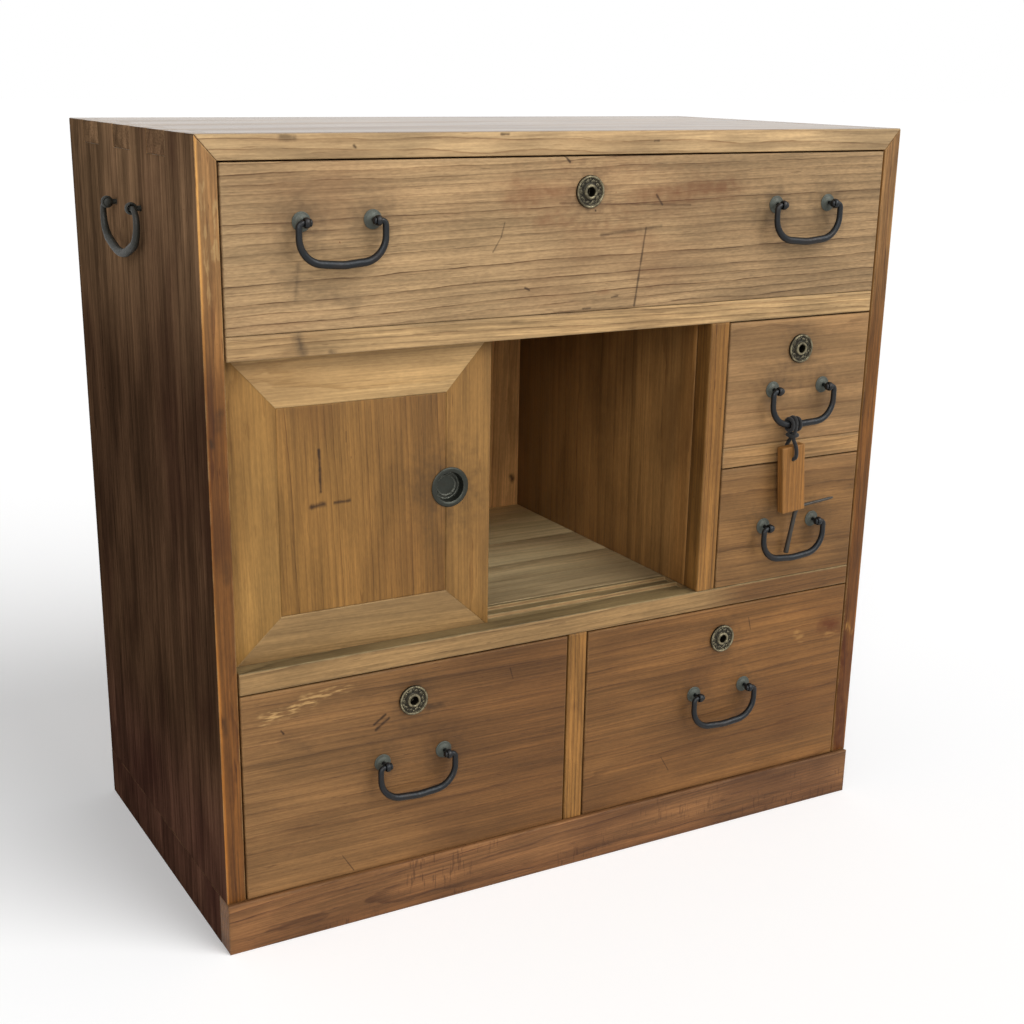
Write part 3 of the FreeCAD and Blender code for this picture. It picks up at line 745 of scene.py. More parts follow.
    SIDE = WoodFinish(
        "dark_side", (104, 78, 52), (48, 33, 22), (56, 30, 24), (124, 92, 60),
        ring_spacing=15.0, line_share=0.35, band_share=0.25, fibre_share=0.8, stain_share=0.5, specular=0.0,
        mottle_share=1.0, roughness=0.55, worn_share=0.5, tint=(1.3, 1.38, 1.62),
        # Painted shade: the side darkens from its top down, where less light falls on it. The second shade is
        # a purplish tone low down.
        shades=(Shade(UPRIGHT, 600, 420, (0.4, 0.36, 0.36)), Shade(UPRIGHT, 200, 60, (1.12, 1.0, 1.2))),
    )
    SIDE_EDGE = WoodFinish(
        "amber_edge", (160, 118, 74), (98, 62, 36), (84, 50, 28), (206, 170, 118), ring_spacing=3.5,
        line_share=0.9, fibre_share=0.9, mottle_share=1.0, stain_share=0.6, worn_share=0.9,
        tint=(0.63, 0.63, 0.59),
        marks=(
            Mark(KNOT, 312, 160, 312, 50, 40.0, 0.95), Mark(GRIME, -309, 442, -311, 430, 7.0, 0.6),
            Mark(GOUGE, -307, 590, -308, 552, 5.0, 0.7), Mark(GOUGE, -315, 606, -314, 520, 4.0, 0.5),
            Mark(GRIME, -317, 422, -316, 418, 4.0, 0.8), Mark(GRIME, -309, 328, -309, 314, 6.0, 0.5),
            Mark(GRIME, -316, 204, -315, 192, 5.0, 0.6), Mark(GOUGE, 308, 176, 316, 170, 7.0, 0.9),
        ),
        shades=(
            Shade(UPRIGHT, 580, 420, (0.75, 0.57, 0.35)), Shade(UPRIGHT, 300, 100, (0.86, 0.82, 0.74)),
            Shade(ACROSS, -317, -319.5, (2.5, 2.4, 1.8)), Shade(ACROSS, 316.5, 319.5, (1.7, 1.7, 1.5)),
        ),
    )
    INNER = WoodFinish(
        "inner_wall", (152, 110, 68), (96, 62, 33), (76, 48, 26), (160, 120, 78),
        ring_spacing=12.0, line_share=0.3, band_share=0.25, stain_share=0.6, tint=(0.95, 0.96, 0.8),
        # Darker in a narrow band just behind the front edge, and painted shade: darker towards the back of the
        # compartment.
        shades=(Shade(DEEP, -108, -124, (0.82, 0.77, 0.7)), Shade(DEEP, 40, 150, (0.84, 0.92, 1.0))),
    )
    BACK = WoodFinish(
        "back_wall", (178, 132, 84), (120, 82, 46), (104, 70, 38), (186, 146, 98), ring_spacing=10.0,
        # Painted light: the tint above 1 brightens the back wall inside the compartment.
        line_share=0.4, stain_share=0.4, tint=(1.42, 1.4, 1.28),
        marks=(Mark(SCRATCH, 119, 270, 121, 266, 6.0, 0.9),),
    )
    BACK_OUTER = WoodFinish(
        "back_outer", (150, 114, 76), (92, 64, 40), (84, 58, 36), (170, 134, 92),
        ring_spacing=9.0, mottle_share=0.8, stain_share=0.6, tint=(0.72, 0.66, 0.56),
    )
    FLOOR = WoodFinish(
        "compartment_floor", (196, 170, 130), (140, 112, 76), (130, 100, 66), (200, 174, 134),
        # The tint above 1 is partly painted light in the compartment.
        ring_spacing=6.0, line_share=0.35, band_share=0.3, fibre_share=0.4, tint=(1.08, 1.14, 1.1),
        # Painted shade: darker towards the front edge. Painted light: lighter towards the back.
        shades=(Shade(DEEP, 0, -100, (0.37, 0.35, 0.34)), Shade(DEEP, 20, 150, (1.22, 1.2, 1.08))),
    )
    DRAWER_BOX = WoodFinish(
        "drawer_box", (196, 166, 122), (158, 122, 80), (140, 104, 66), (206, 178, 134),
        ring_spacing=6.0, line_share=0.5, stain_share=0.25, roughness=0.68, specular=0.15,
        tint=(0.85, 0.82, 0.75),
    )
    TAG = WoodFinish(
        "fob_wood", (172, 124, 72), (124, 82, 40), (118, 76, 40), (204, 158, 104),
        ring_spacing=2.6, wander=3.0, line_share=0.7, stain_share=0.2, tint=(0.55, 0.5, 0.38),
    )
    IRON = MetalFinish("black_iron", (34, 36, 38), (118, 126, 130), (50, 42, 36), roughness=0.36, pitting=0.2)
    ROSETTE = MetalFinish(
        "grey_rosette", (70, 73, 66), (116, 120, 108), (56, 50, 40), metallic=0.55, roughness=0.5,
        pitting=0.2,
    )
    BRONZE = MetalFinish(
        "dark_bronze", (38, 34, 26), (146, 136, 108), (34, 36, 30), metallic=0.8, roughness=0.38,
        bright_share=0.75, raised=(1.3, 2.4),
    )
    DOOR_BRONZE = MetalFinish(
        "cup_bronze", (50, 52, 46), (150, 148, 134), (46, 44, 36), metallic=0.75, roughness=0.34,
        bright_share=0.75,
    )
    STEEL = MetalFinish(
        "lock_steel", (70, 66, 60), (128, 124, 116), (92, 62, 42), metallic=0.8, rust_share=0.5,
    )
    HANDLE = MetalFinish(
        "handle_iron", (38, 38, 32), (78, 78, 66), (46, 38, 30), metallic=0.25, roughness=0.55, pitting=0.25,
        bright_share=0.35,
    )
    KEY = MetalFinish("key_iron", (66, 63, 58), (122, 118, 108), (58, 46, 38), roughness=0.5)
    CORD = CordFinish("black_cord", (14, 13, 13), (30, 29, 28))

    def material(self) -> bpy.types.Material:
        """The finish's material, built once.

        Returns:
            The material.
        """
        made = bpy.data.materials.get(self.value.name)
        if not made:
            made = bpy.data.materials.new(self.value.name)
            self.value.dress(NodeSheet(made))
        return made


def take(piece: Piece) -> None:
    """Selects one piece alone and makes it the active one.

    Args:
        piece: The piece.
    """
    bpy.ops.object.select_all(action="DESELECT")
    piece.select_set(True)
    bpy.context.view_layer.objects.active = piece


def apply_place(piece: Piece, place: Matrix) -> None:
    """Moves a piece and puts the move into its mesh.

    Args:
        piece: A piece that sits at the origin.
        place: Where it goes.
    """
    take(piece)
    piece.matrix_world = place
    bpy.ops.object.transform_apply(location=True, rotation=True, scale=True)


def apply_modifier(piece: Piece, kind: str, **settings: Any) -> None:
    """Adds a modifier and applies it.

    Args:
        piece: The piece.
        kind: Blender's name of the modifier.
        settings: Its properties.
    """
    take(piece)
    modifier = piece.modifiers.new(kind.lower(), kind)
    for key, value in settings.items():
        setattr(modifier, key, value)
    bpy.ops.object.modifier_apply(modifier=modifier.name)


def joined(pieces: Sequence[Piece], name: str) -> Piece:
    """Joins pieces into one.

    Args:
        pieces: The pieces, each with its place in its mesh.
        name: The new piece's name.

    Returns:
        The joined piece.
    """
    take(pieces[0])
    for piece in pieces:
        piece.select_set(True)
    bpy.ops.object.join()
    pieces[0].name = name
    return pieces[0]


def smooth(piece: Piece, degrees: float = CREASE) -> None:
    """Shades a piece smooth, apart from its sharp edges."""
    take(piece)
    bpy.ops.object.shade_smooth_by_angle(angle=math.radians(degrees))


def close_up(merge: float) -> None:
    """Merges what meets, closes round ends, turns the faces outward and leaves edit mode.

    Args:
        merge: How near points are that become one.
    """
    bpy.ops.mesh.select_all(action="SELECT")
    bpy.ops.mesh.remove_doubles(threshold=merge)
    bpy.ops.mesh.fill_holes(sides=128)
    bpy.ops.mesh.select_all(action="SELECT")
    bpy.ops.mesh.normals_make_consistent(inside=False)
    bpy.ops.object.mode_set(mode="OBJECT")


def facing(direction: Vector, at: Vector) -> Matrix:
    """A place whose +Z points in a direction."""
    return Matrix.Translation(at) @ direction.to_track_quat("Z", "Y").to_matrix().to_4x4()


def hand_over(piece: Piece, body: str, finish: Finishes, slot: str, *replaced: str) -> None:
    """Gives a piece its finish and its body, and hides the nodes that it stands for.

    Args:
        piece: The finished piece.
        body: The body that it moves with.
        finish: Its finish, unless it has one.
        slot: The record's material slot; not used.
        replaced: The nodes that it stands for.
    """
    if not piece.data.materials:
        piece.data.materials.append(finish.material())
    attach(piece, body)
    if replaced:
        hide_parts(*replaced)
    LOG.info("%s rides on %s", piece.name, body)


class RoundBar:
    """A round bar drawn out ring by ring, as a smith draws it."""

    def __init__(self, centre: Vector, heading: Vector, radius: float, sides: int = 20) -> None:
        """Starts with one ring, in edit mode.

        Args:
            centre: The ring's middle.
            heading: The way that the bar goes.
            radius: The ring's radius.
            sides: Its corners.
        """
        bpy.ops.object.select_all(action="DESELECT")
        turn = heading.to_track_quat("Z", "Y").to_euler()
        bpy.ops.mesh.primitive_circle_add(vertices=sides, radius=radius, location=centre, rotation=turn)
        self.piece = bpy.context.object
        bpy.ops.object.transform_apply(location=True, rotation=True, scale=True)
        bpy.ops.object.mode_set(mode="EDIT")
        bpy.ops.mesh.select_all(action="SELECT")
        self.centre = Vector(centre)
        self.radius = radius

    def _radii(self, radius: float, steps: int) -> list[float]:
        """The radius of each ring on the way to the last one."""
        start = self.radius
        return [start + (radius - start) * (index + 1) / steps for index in range(steps)]

    def _scale_to(self, radius: float) -> None:
        """Scales the last ring.

        Args:
            radius: Its new radius.
        """
        ratio = radius / self.radius
        bpy.ops.transform.resize(value=(ratio, ratio, ratio), center_override=self.centre)
        self.radius = radius

    def run(self, move: Vector, radius: float, steps: int = 1) -> None:
        """Draws the bar straight on.

        Args:
            move: How far and where to.
            radius: Its radius at the end.
            steps: The rings on the way.
        """
        for size in self._radii(radius, steps):
            bpy.ops.mesh.extrude_region_move(TRANSFORM_OT_translate={"value": move / steps})
            self.centre += move / steps
            self._scale_to(size)

    def turn(self, pivot: Vector, axis: Vector, degrees: float, radius: float, steps: int) -> None:
        """Bends the bar round a pivot.

        Args:
            pivot: The bend's middle.
            axis: The axis that it turns about.
            degrees: How far it turns.
            radius: Its radius at the end.
            steps: The rings on the way.
        """
        angle = math.radians(degrees) / steps
        for size in self._radii(radius, steps):
            bpy.ops.mesh.spin(steps=1, angle=angle, center=pivot, axis=-axis)
            self.centre = pivot + Matrix.Rotation(angle, 3, axis) @ (self.centre - pivot)
            self._scale_to(size)

    def finish(self, name: str) -> Piece:
        """Closes the ends and leaves edit mode.

        Args:
            name: The piece's name.

        Returns:
            The piece.
        """
        close_up(BAR_MERGE * MM)
        self.piece.name = name
        smooth(self.piece)
        return self.piece


def turned(rings: Sequence[Ring], place: Matrix, name: str, sides: int = 48) -> Piece:
    """A shape turned about +Z, then put in its place.

    Args:
        rings: Radius and height of each ring, in millimetres.
        place: Where its origin and +Z go.
        name: The piece's name.
        sides: Its corners.

    Returns:
        The piece.
    """
    (first, base), *others = [(max(radius, POINT_RADIUS) * MM, height * MM) for radius, height in rings]
    bar = RoundBar(UP * base, UP, first, sides)
    for radius, height in others:
        bar.run(UP * height - bar.centre, radius)
    piece = bar.finish(name)
    apply_place(piece, place)
    return piece


def beads(place: Matrix, count: int, ring: float, size: Triple, lift: float, lean: float, name: str) -> Piece:
    """Small raised bosses in a ring about +Z.

    Args:
        place: Where the ring's middle and +Z go.
        count: How many.
        ring: The ring's radius, in millimetres.
        size: Half of each boss along the ring, across it and up, in millimetres.
        lift: Their height above the middle, in millimetres.
        lean: How far each is turned from the ring's line, in degrees.
        name: The piece's name.

    Returns:
        The piece.
    """
    made = []
    for index in range(count):
        angle = 2 * math.pi * index / count
        at = Vector((math.cos(angle) * ring, math.sin(angle) * ring, lift)) * MM
        bpy.ops.object.select_all(action="DESELECT")
        bpy.ops.mesh.primitive_uv_sphere_add(segments=12, ring_count=8, radius=1.0)
        made.append(bpy.context.object)
        turn = Matrix.Rotation(angle + math.pi / 2 + math.radians(lean), 4, "Z")
        stretch = Matrix.Diagonal((*[side * MM for side in size], 1.0))
        apply_place(made[-1], place @ Matrix.Translation(at) @ turn @ stretch)
    piece = joined(made, name)
    smooth(piece, SOFT_CREASE)
    return piece


def closed_solids(mesh: bpy.types.Mesh) -> list[list[int]]:
    """Sorts a node's loose triangles into its solids: each run of faces that closes on itself is one.

    Args:
        mesh: The node's mesh, one solid after another.

    Returns:
        The face numbers of each solid.
    """
    corner = [tuple(round(part * 1e6) for part in vertex.co) for vertex in mesh.vertices]
    found: list[list[int]] = [[]]
    unmatched: set[tuple] = set()
    for face in mesh.polygons:
        points = [corner[vertex] for vertex in face.vertices]
        for start, end in zip(points, points[1:] + points[:1]):
            if (end, start) in unmatched:
                unmatched.remove((end, start))
            elif start != end:
                unmatched.add((start, end))
        found[-1].append(face.index)
        if not unmatched:
            found.append([])
    return [faces for faces in found if faces]


def node_copy(node: str, name: str) -> Piece:
    """A copy of a node's mesh, each of its solids merged into whole faces.

    Args:
        node: The node.
        name: The copy's name.

    Returns:
        The copy.
    """
    source = frame["nodes"][node]
    piece = bpy.data.objects.new(name, source.data.copy())
    bpy.context.scene.collection.objects.link(piece)
    piece.data.materials.clear()
    apply_place(piece, source.matrix_world)
    bpy.ops.mesh.customdata_custom_splitnormals_clear()
    solids = closed_solids(piece.data)
    bpy.ops.object.mode_set(mode="EDIT")
    shape = bmesh.from_edit_mesh(piece.data)
    shape.faces.ensure_lookup_table()
    tag = shape.faces.layers.int.new("solid")
    for number, faces in enumerate(solids):
        for face in faces:
            shape.faces[face][tag] = number
    for number in range(len(solids)):
        bpy.ops.mesh.select_all(action="DESELECT")
        for face in shape.faces:
            if face[tag] == number:
                face.select_set(True)
        bmesh.update_edit_mesh(piece.data)
        bpy.ops.mesh.remove_doubles(threshold=CAD_MERGE * MM)
        bpy.ops.mesh.dissolve_limited(angle_limit=math.radians(FLAT_ANGLE))
        shape = bmesh.from_edit_mesh(piece.data)
        tag = shape.faces.layers.int["solid"]
    bpy.ops.object.mode_set(mode="OBJECT")
    return piece


def islands(mesh: bpy.types.Mesh) -> list[list[int]]:
    """The separate boards of a mesh, as lists of vertex numbers.

    Args:
        mesh: The mesh.

    Returns:
        One list for each board, in the order of their first vertices.
    """
    leader = list(range(len(mesh.vertices)))

    def root(vertex: int) -> int:
        """Finds the vertex that stands for a board.

        Args:
            vertex: One of the board's vertices.

        Returns:
            The lowest vertex that it is known to hang together with.
        """
        while leader[vertex] != vertex:
            leader[vertex] = leader[leader[vertex]]
            vertex = leader[vertex]
        return vertex

    for edge in mesh.edges:
        first, second = (root(vertex) for vertex in edge.vertices)
        leader[max(first, second)] = min(first, second)
    groups: dict[int, list[int]] = {}
    for vertex in range(len(leader)):
        groups.setdefault(root(vertex), []).append(vertex)
    return list(groups.values())


def limits(mesh: bpy.types.Mesh, board: Iterable[int]) -> tuple[Vector, Vector]:
    """The lowest and highest corner of a board, given by its vertices."""
    sides = list(zip(*(mesh.vertices[index].co for index in board)))
    return Vector([min(side) for side in sides]), Vector([max(side) for side in sides])


@dataclass
class Board:
    """One node of boards, copied with worn edges, its grain and its finish. Edges in millimetres."""

    node: str
    finish: Finishes
    grain: GrainAxis = LONGEST
    faces: tuple[tuple[Vector, Finishes], ...] = ()
    worn_edge: float = 0.7
    least_edge: float = 7.0
    upright_finish: Optional[Finishes] = None
    pith_depth: tuple[float, float] = (0.035, 0.09)
    pith_aside: Optional[float] = None
    pith_spread: float = 0.45
    shift: float = 5.0
    drift: float = 0.035
    tone_spread: float = 0.07
    facing_share: float = 0.6

    def build(self) -> None:
        """Copies the boards, wears their long edges and lays their grain."""
        piece = node_copy(self.node, f"{self.node}_wood")
        self._wear(piece)
        self._lay_grain(piece.data)
        smooth(piece)
        self._dress(piece.data)
        slot = next(s["material_slot"] for s in frame["record"]["subparts"] if s["node"] == self.node)
        hand_over(piece, frame["nodes"][self.node]["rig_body"], self.finish, slot, self.node)

    def _wear(self, piece: Piece) -> None:
        """Rounds the long outer edges a little.

        Args:
            piece: The boards.
        """
        shape = bmesh.new()
        shape.from_mesh(piece.data)
        weights = shape.edges.layers.float.new("bevel_weight_edge")
        for edge in shape.edges:
            sharp = len(edge.link_faces) == 2 and edge.calc_face_angle_signed() > math.radians(WORN_ANGLE)
            if sharp and edge.calc_length() > self.least_edge * MM:
                edge[weights] = 1.0
        shape.to_mesh(piece.data)
        shape.free()
        apply_modifier(
            piece, "BEVEL", limit_method="WEIGHT", width=self.worn_edge * MM, segments=2,
            use_clamp_overlap=False,
        )

    def _lay_grain(self, mesh: bpy.types.Mesh) -> None:
        """Gives each board its own tree: where the pith lies, how it drifts, and a tone.

        Args:
            mesh: The boards' mesh.
        """
        mesh.attributes.new("grain", "FLOAT_VECTOR", "POINT")
        mesh.attributes.new("tone", "FLOAT", "POINT")
        grain, tone = mesh.attributes["grain"], mesh.attributes["tone"]
        draw = random.Random(self.node)
        for board in islands(mesh):
            low, high = limits(mesh, board)
            size = high - low
            order = sorted(range(3), key=lambda axis: -size[axis])
            if self.grain is not LONGEST:
                order.remove(self.grain.value)
                order.insert(0, self.grain.value)
            along, across, through = order
            shift = draw.uniform(-self.shift, self.shift)
            aside = self.pith_aside
            if aside is None:
                aside = draw.uniform(-self.pith_spread, self.pith_spread) * size[across]
            depth = draw.uniform(*self.pith_depth)
            lean = draw.uniform(-self.drift, self.drift)
            shade = 1 + draw.uniform(-self.tone_spread, self.tone_spread)
            for index in board:
                offset = mesh.vertices[index].co - (low + high) / 2
                grain.data[index].vector = (
                    offset[along] + shift,
                    offset[across] + aside + lean * offset[along],
                    offset[through] + depth + lean * 0.5 * offset[along],
                )
                tone.data[index].value = shade

    def _dress(self, mesh: bpy.types.Mesh) -> None:
        """Sets the finish, and other ones on the faces that look a given way and on upright boards.

        Args:
            mesh: The boards' mesh.
        """
        mesh.materials.append(self.finish.material())
        for index, (way, finish) in enumerate(self.faces):
            mesh.materials.append(finish.material())
            for face in mesh.polygons:
                if face.normal.dot(way) > self.facing_share:
                    face.material_index = index + 1
        if self.upright_finish:
            mesh.materials.append(self.upright_finish.material())
            sizes = [(board, *limits(mesh, board)) for board in islands(mesh)]
            upright = {i for board, low, high in sizes if high.z - low.z > high.x - low.x for i in board}
            for face in mesh.polygons:
                if face.vertices[0] in upright:
                    face.material_index = len(mesh.materials) - 1


@dataclass
class Bail:
    """A hanging iron handle, drawn with its pivot line on X and hanging down -Z, in millimetres."""

    pitch: float = 56.0
    leg_spread: float = 68.0
    drop: float = 31.0
    bar_radius: float = 3.1
    leg_radius: float = 2.45
    pin_radius: float = 1.8
    corner_radius: float = 19.0
    eye_width: float = 4.0
    eye_gap: float = 0.4
    knob_radius: float = 3.0
    knob_thickness: float = 2.0
    tip_radius: float = 0.02
    pin_step: float = 0.05
    sag: float = 3.0
    bottom_radius: float = 45.0
    hammer_depth: float = 0.1
    hammer_size: float = 5.0

    def build(self, name: str, place: Matrix) -> Piece:
        """Draws half of the bail from its riveted end to the middle of the grip, and mirrors it.

        Args:
            name: The piece's name.
            place: Where its pivot goes.

        Returns:
            The piece.
        """
        piece = self._half().piece
        bpy.ops.mesh.select_all(action="DESELECT")
        bpy.ops.object.mode_set(mode="OBJECT")
        apply_modifier(piece, "MIRROR", use_axis=(True, False, False), merge_threshold=MIRROR_MERGE * MM)
        take(piece)
        bpy.ops.object.mode_set(mode="EDIT")
        close_up(BAIL_MERGE * MM)
        texture = bpy.data.textures.get("forged") or bpy.data.textures.new("forged", "CLOUDS")
        texture.noise_scale = self.hammer_size * MM
        apply_modifier(
            piece, "DISPLACE", texture=texture, strength=-self.hammer_depth * MM, mid_level=0.0,
            texture_coords="LOCAL",
        )
        smooth(piece, SOFT_CREASE)
        piece.name = name
        apply_place(piece, place)
        return piece

    def _half(self) -> RoundBar:
        """Draws the left half: rivet head, pin, shoulder, leg, corner and half of the grip.

        Returns:
            The bar, still in edit mode.
        """
        seat = -((self.pitch - self.eye_width) / 2 - self.eye_gap) * MM
        shoulder = -((self.pitch + self.eye_width) / 2 + self.eye_gap) * MM
        leg = -self.leg_spread / 2 * MM
        pin, thin, thick = (radius * MM for radius in (self.pin_radius, self.leg_radius, self.bar_radius))
        tip = seat + self.knob_thickness * MM
        bar = RoundBar(Vector((tip, 0, 0)), -RIGHT, self.tip_radius * MM, 24)
        head = ((0.03, 0.35), (0.12, 0.62), (0.3, 0.85), (0.6, 0.98), (0.85, 1.0), (1.0, 0.93))
        high, wide, step = (part * MM for part in (self.knob_thickness, self.knob_radius, self.pin_step))
        rings = [(tip - fall * high, wide * share, 1) for fall, share in head]
        rings += [(seat - step, pin, 1), (shoulder + step, pin, 3), (shoulder, thin * 0.9, 1)]
        for x, radius, steps in rings:
            bar.run(Vector((x - bar.centre.x, 0, 0)), radius, steps)
        bar.turn(Vector((shoulder, 0, leg - shoulder)), OUT, 90, thin, 9)
        corner = Vector((leg, 0, (self.sag - self.drop) * MM))
        bottom = Vector((0, 0, -self.drop * MM))
        along = (bottom - corner).normalized()
        angle = (-UP).angle(along)
        round_corner = self.corner_radius * MM
        entry = corner + UP * round_corner * math.tan(angle / 2)
        bar.run(entry - bar.centre, thin * 1.02, 6)
        bar.turn(entry + RIGHT * round_corner, OUT, math.degrees(angle), thick, 18)
        half = math.pi / 2 - angle
        rest = self.bottom_radius * MM
        bar.run(bottom - along * rest * math.tan(half) - bar.centre, thick, 6)
        bar.turn(bottom + UP * rest / math.cos(half), OUT, math.degrees(half), thick, 12)
        return bar


@dataclass
class EyePosts:
    """The eye posts and rosettes of one pull, in millimetres."""

    pitch: float = 56.0
    standoff: float = 10.0
    eye_radius: float = 4.0
    hole_radius: float = 2.15
    eye_width: float = 4.0
    shank_radius: float = 1.9
    rosette_radius: float = 7.3
    rosette_thickness: float = 1.2
    board_thickness: float = 18.0
    clinch_radius: float = 4.5
    clinch_thickness: float = 1.2

    def eye(self, pivot: Vector, out: Vector, pin: Vector, tail: float) -> Piece:
        """One ring on its shank.

        Args:
            pivot: The ring's middle.
            out: The way out of the board.
            pin: The pin's line.
            tail: How far the shank goes behind the ring, in millimetres.

        Returns:
            The eye.
        """
        minor = (self.eye_radius - self.hole_radius) / 2
        bpy.ops.object.select_all(action="DESELECT")
        bpy.ops.mesh.primitive_torus_add(
            major_radius=(self.hole_radius + minor) * MM, minor_radius=minor * MM,
            major_segments=32, minor_segments=14,
        )
        ring = bpy.context.object
        apply_place(ring, facing(pin, pivot) @ Matrix.Diagonal((1, 1, self.eye_width / 2 / minor, 1)))
        smooth(ring, SOFT_CREASE)
        start = self.eye_radius - minor
        shank = RoundBar(pivot - out * start * MM, -out, self.shank_radius * 0.9 * MM)
        for share, radius in ((0.25, 0.8), (0.75, 1.0)):
            shank.run(-out * (tail - start) * share * MM, self.shank_radius * radius * MM, 3)
        return joined([ring, shank.finish("shank")], "eye")

    def rosette(self, at: Vector) -> Piece:
        """A domed rosette round a shank on a front.

        Args:
            at: Its middle.

        Returns:
            The rosette.
        """
        edge = self.rosette_radius
        high = self.rosette_thickness
        hole = self.shank_radius * 0.9
        rings = [
            (hole, 0.0), (edge - 0.3, 0.0), (edge, 0.25), (edge - 0.1, 0.6), (edge - 0.7, 0.9),
            (edge - 1.5, 0.8), (edge - 2.3, high), (edge - 3.4, high + 0.5),
            (self.shank_radius + 0.8, high + 1.0), (hole, high + 1.1), (hole, 0.0),
        ]
        return turned(rings, facing(OUT, at), "rosette", 40)

    def clinch(self, at: Vector) -> Piece:
        """The washer and hammered end behind a front.

        Args:
            at: Its middle.

        Returns:
            The washer.
        """
        edge = self.clinch_radius
        low = -self.clinch_thickness
        rings = [
            (0.0, 0.0), (edge, 0.0), (edge, -0.5), (edge - 0.6, -0.9), (2.4, -0.9), (2.0, low),
            (0.0, low - 0.2),
        ]
        return turned(rings, facing(OUT, at), "clinch", 28)


@dataclass
class LockPlate:
    """A round lock plate with its rim, relief and keyhole, in millimetres."""

    radius: float = 12.7
    thickness: float = 1.6
    rim_height: float = 0.9
    ring_radius: float = 6.0
    ring_height: float = 1.6
    keyhole_radius: float = 3.7
    keyhole_depth: float = 6.0
    leaf_count: int = 10
    notch_count: int = 28

    def build(self, name: str, at: Vector) -> Piece:
        """Turns the plate and sets its relief.

        Args:
            name: The piece's name.
            at: Its middle on the drawer front.

        Returns:
            The piece.
        """
        place = facing(OUT, at)
        edge, hole, ring, deep = self.radius, self.keyhole_radius, self.ring_radius, -self.keyhole_depth
        top = self.thickness + self.ring_height
        rim = self.thickness + self.rim_height
        bed = self.thickness - 0.45
        rings = [
            (hole, deep), (hole, top - 0.7), (hole + 0.25, top - 0.2), (hole + 0.8, top),
            (ring - 0.8, top - 0.05), (ring - 0.2, top - 0.6), (ring, self.thickness),
            (ring + 0.5, bed + 0.1), (ring + 0.9, bed),
            (edge - 2.6, bed), (edge - 2.1, bed + 0.2), (edge - 1.8, rim - 0.3), (edge - 1.3, rim),
            (edge - 0.7, rim - 0.05), (edge - 0.2, rim - 0.5), (edge, self.thickness - 0.3), (edge, 0.0),
            (hole + 0.5, 0.0), (hole + 0.5, deep), (hole, deep),
        ]
        plate = turned(rings, place, name, 64)
        middle = (ring + 0.9 + edge - 2.6) / 2
        between = place @ Matrix.Rotation(math.pi / self.leaf_count, 4, "Z")
        leaves = beads(place, self.leaf_count, middle, (1.75, 0.95, 0.62), bed, 28.0, "leaves")
        buds = beads(between, self.leaf_count, middle + 0.9, (0.55, 0.55, 0.5), bed, 0.0, "buds")
        notches = beads(place, self.notch_count, edge - 1.0, (0.42, 0.5, 0.28), rim - 0.08, 0.0, "notches")
        inside = facing(OUT, at + OUT * (deep + 0.4) * MM)
        bottom = turned([(0.0, 0.0), (hole, 0.0), (hole, -0.3), (0.0, -0.3)], inside, "bottom", 32)
        return joined([plate, leaves, buds, notches, bottom], name)


@dataclass
class DoorPull:
    """A recessed round pull with a rolled rim, in millimetres."""

    radius: float = 16.5
    depth: float = 8.0
    rim_width: float = 3.2
    rim_height: float = 1.0
    wall: float = 1.2

    def build(self, name: str, at: Vector) -> Piece:
        """Turns the cup.

        Args:
            name: The piece's name.
            at: Its middle on the door's face.

        Returns:
            The piece.
        """
        edge = self.radius
        well = edge - self.rim_width
        inner = well - self.wall
        floor = -self.depth + self.wall
        high = self.rim_height
        rings = [
            (0.0, floor), (3.0, floor - 0.05), (inner - 4.4, floor), (inner - 3.8, floor + 0.45),
            (inner - 3.2, floor + 0.45), (inner - 2.6, floor), (inner - 1.2, floor + 0.2),
            (inner - 0.3, floor + 1.2), (inner, floor + 2.6), (inner + 0.1, -0.4), (inner + 0.35, 0.3),
            (well + 0.1, high - 0.15), (well + 1.0, high), (edge - 0.9, high - 0.12),
            (edge - 0.2, high - 0.5), (edge, 0.15), (edge - 0.1, 0.0), (well - 0.05, 0.0),
            (well - 0.05, -self.depth + 0.05), (0.0, -self.depth + 0.05),
        ]
        return turned(rings, facing(OUT, at), name, 64)


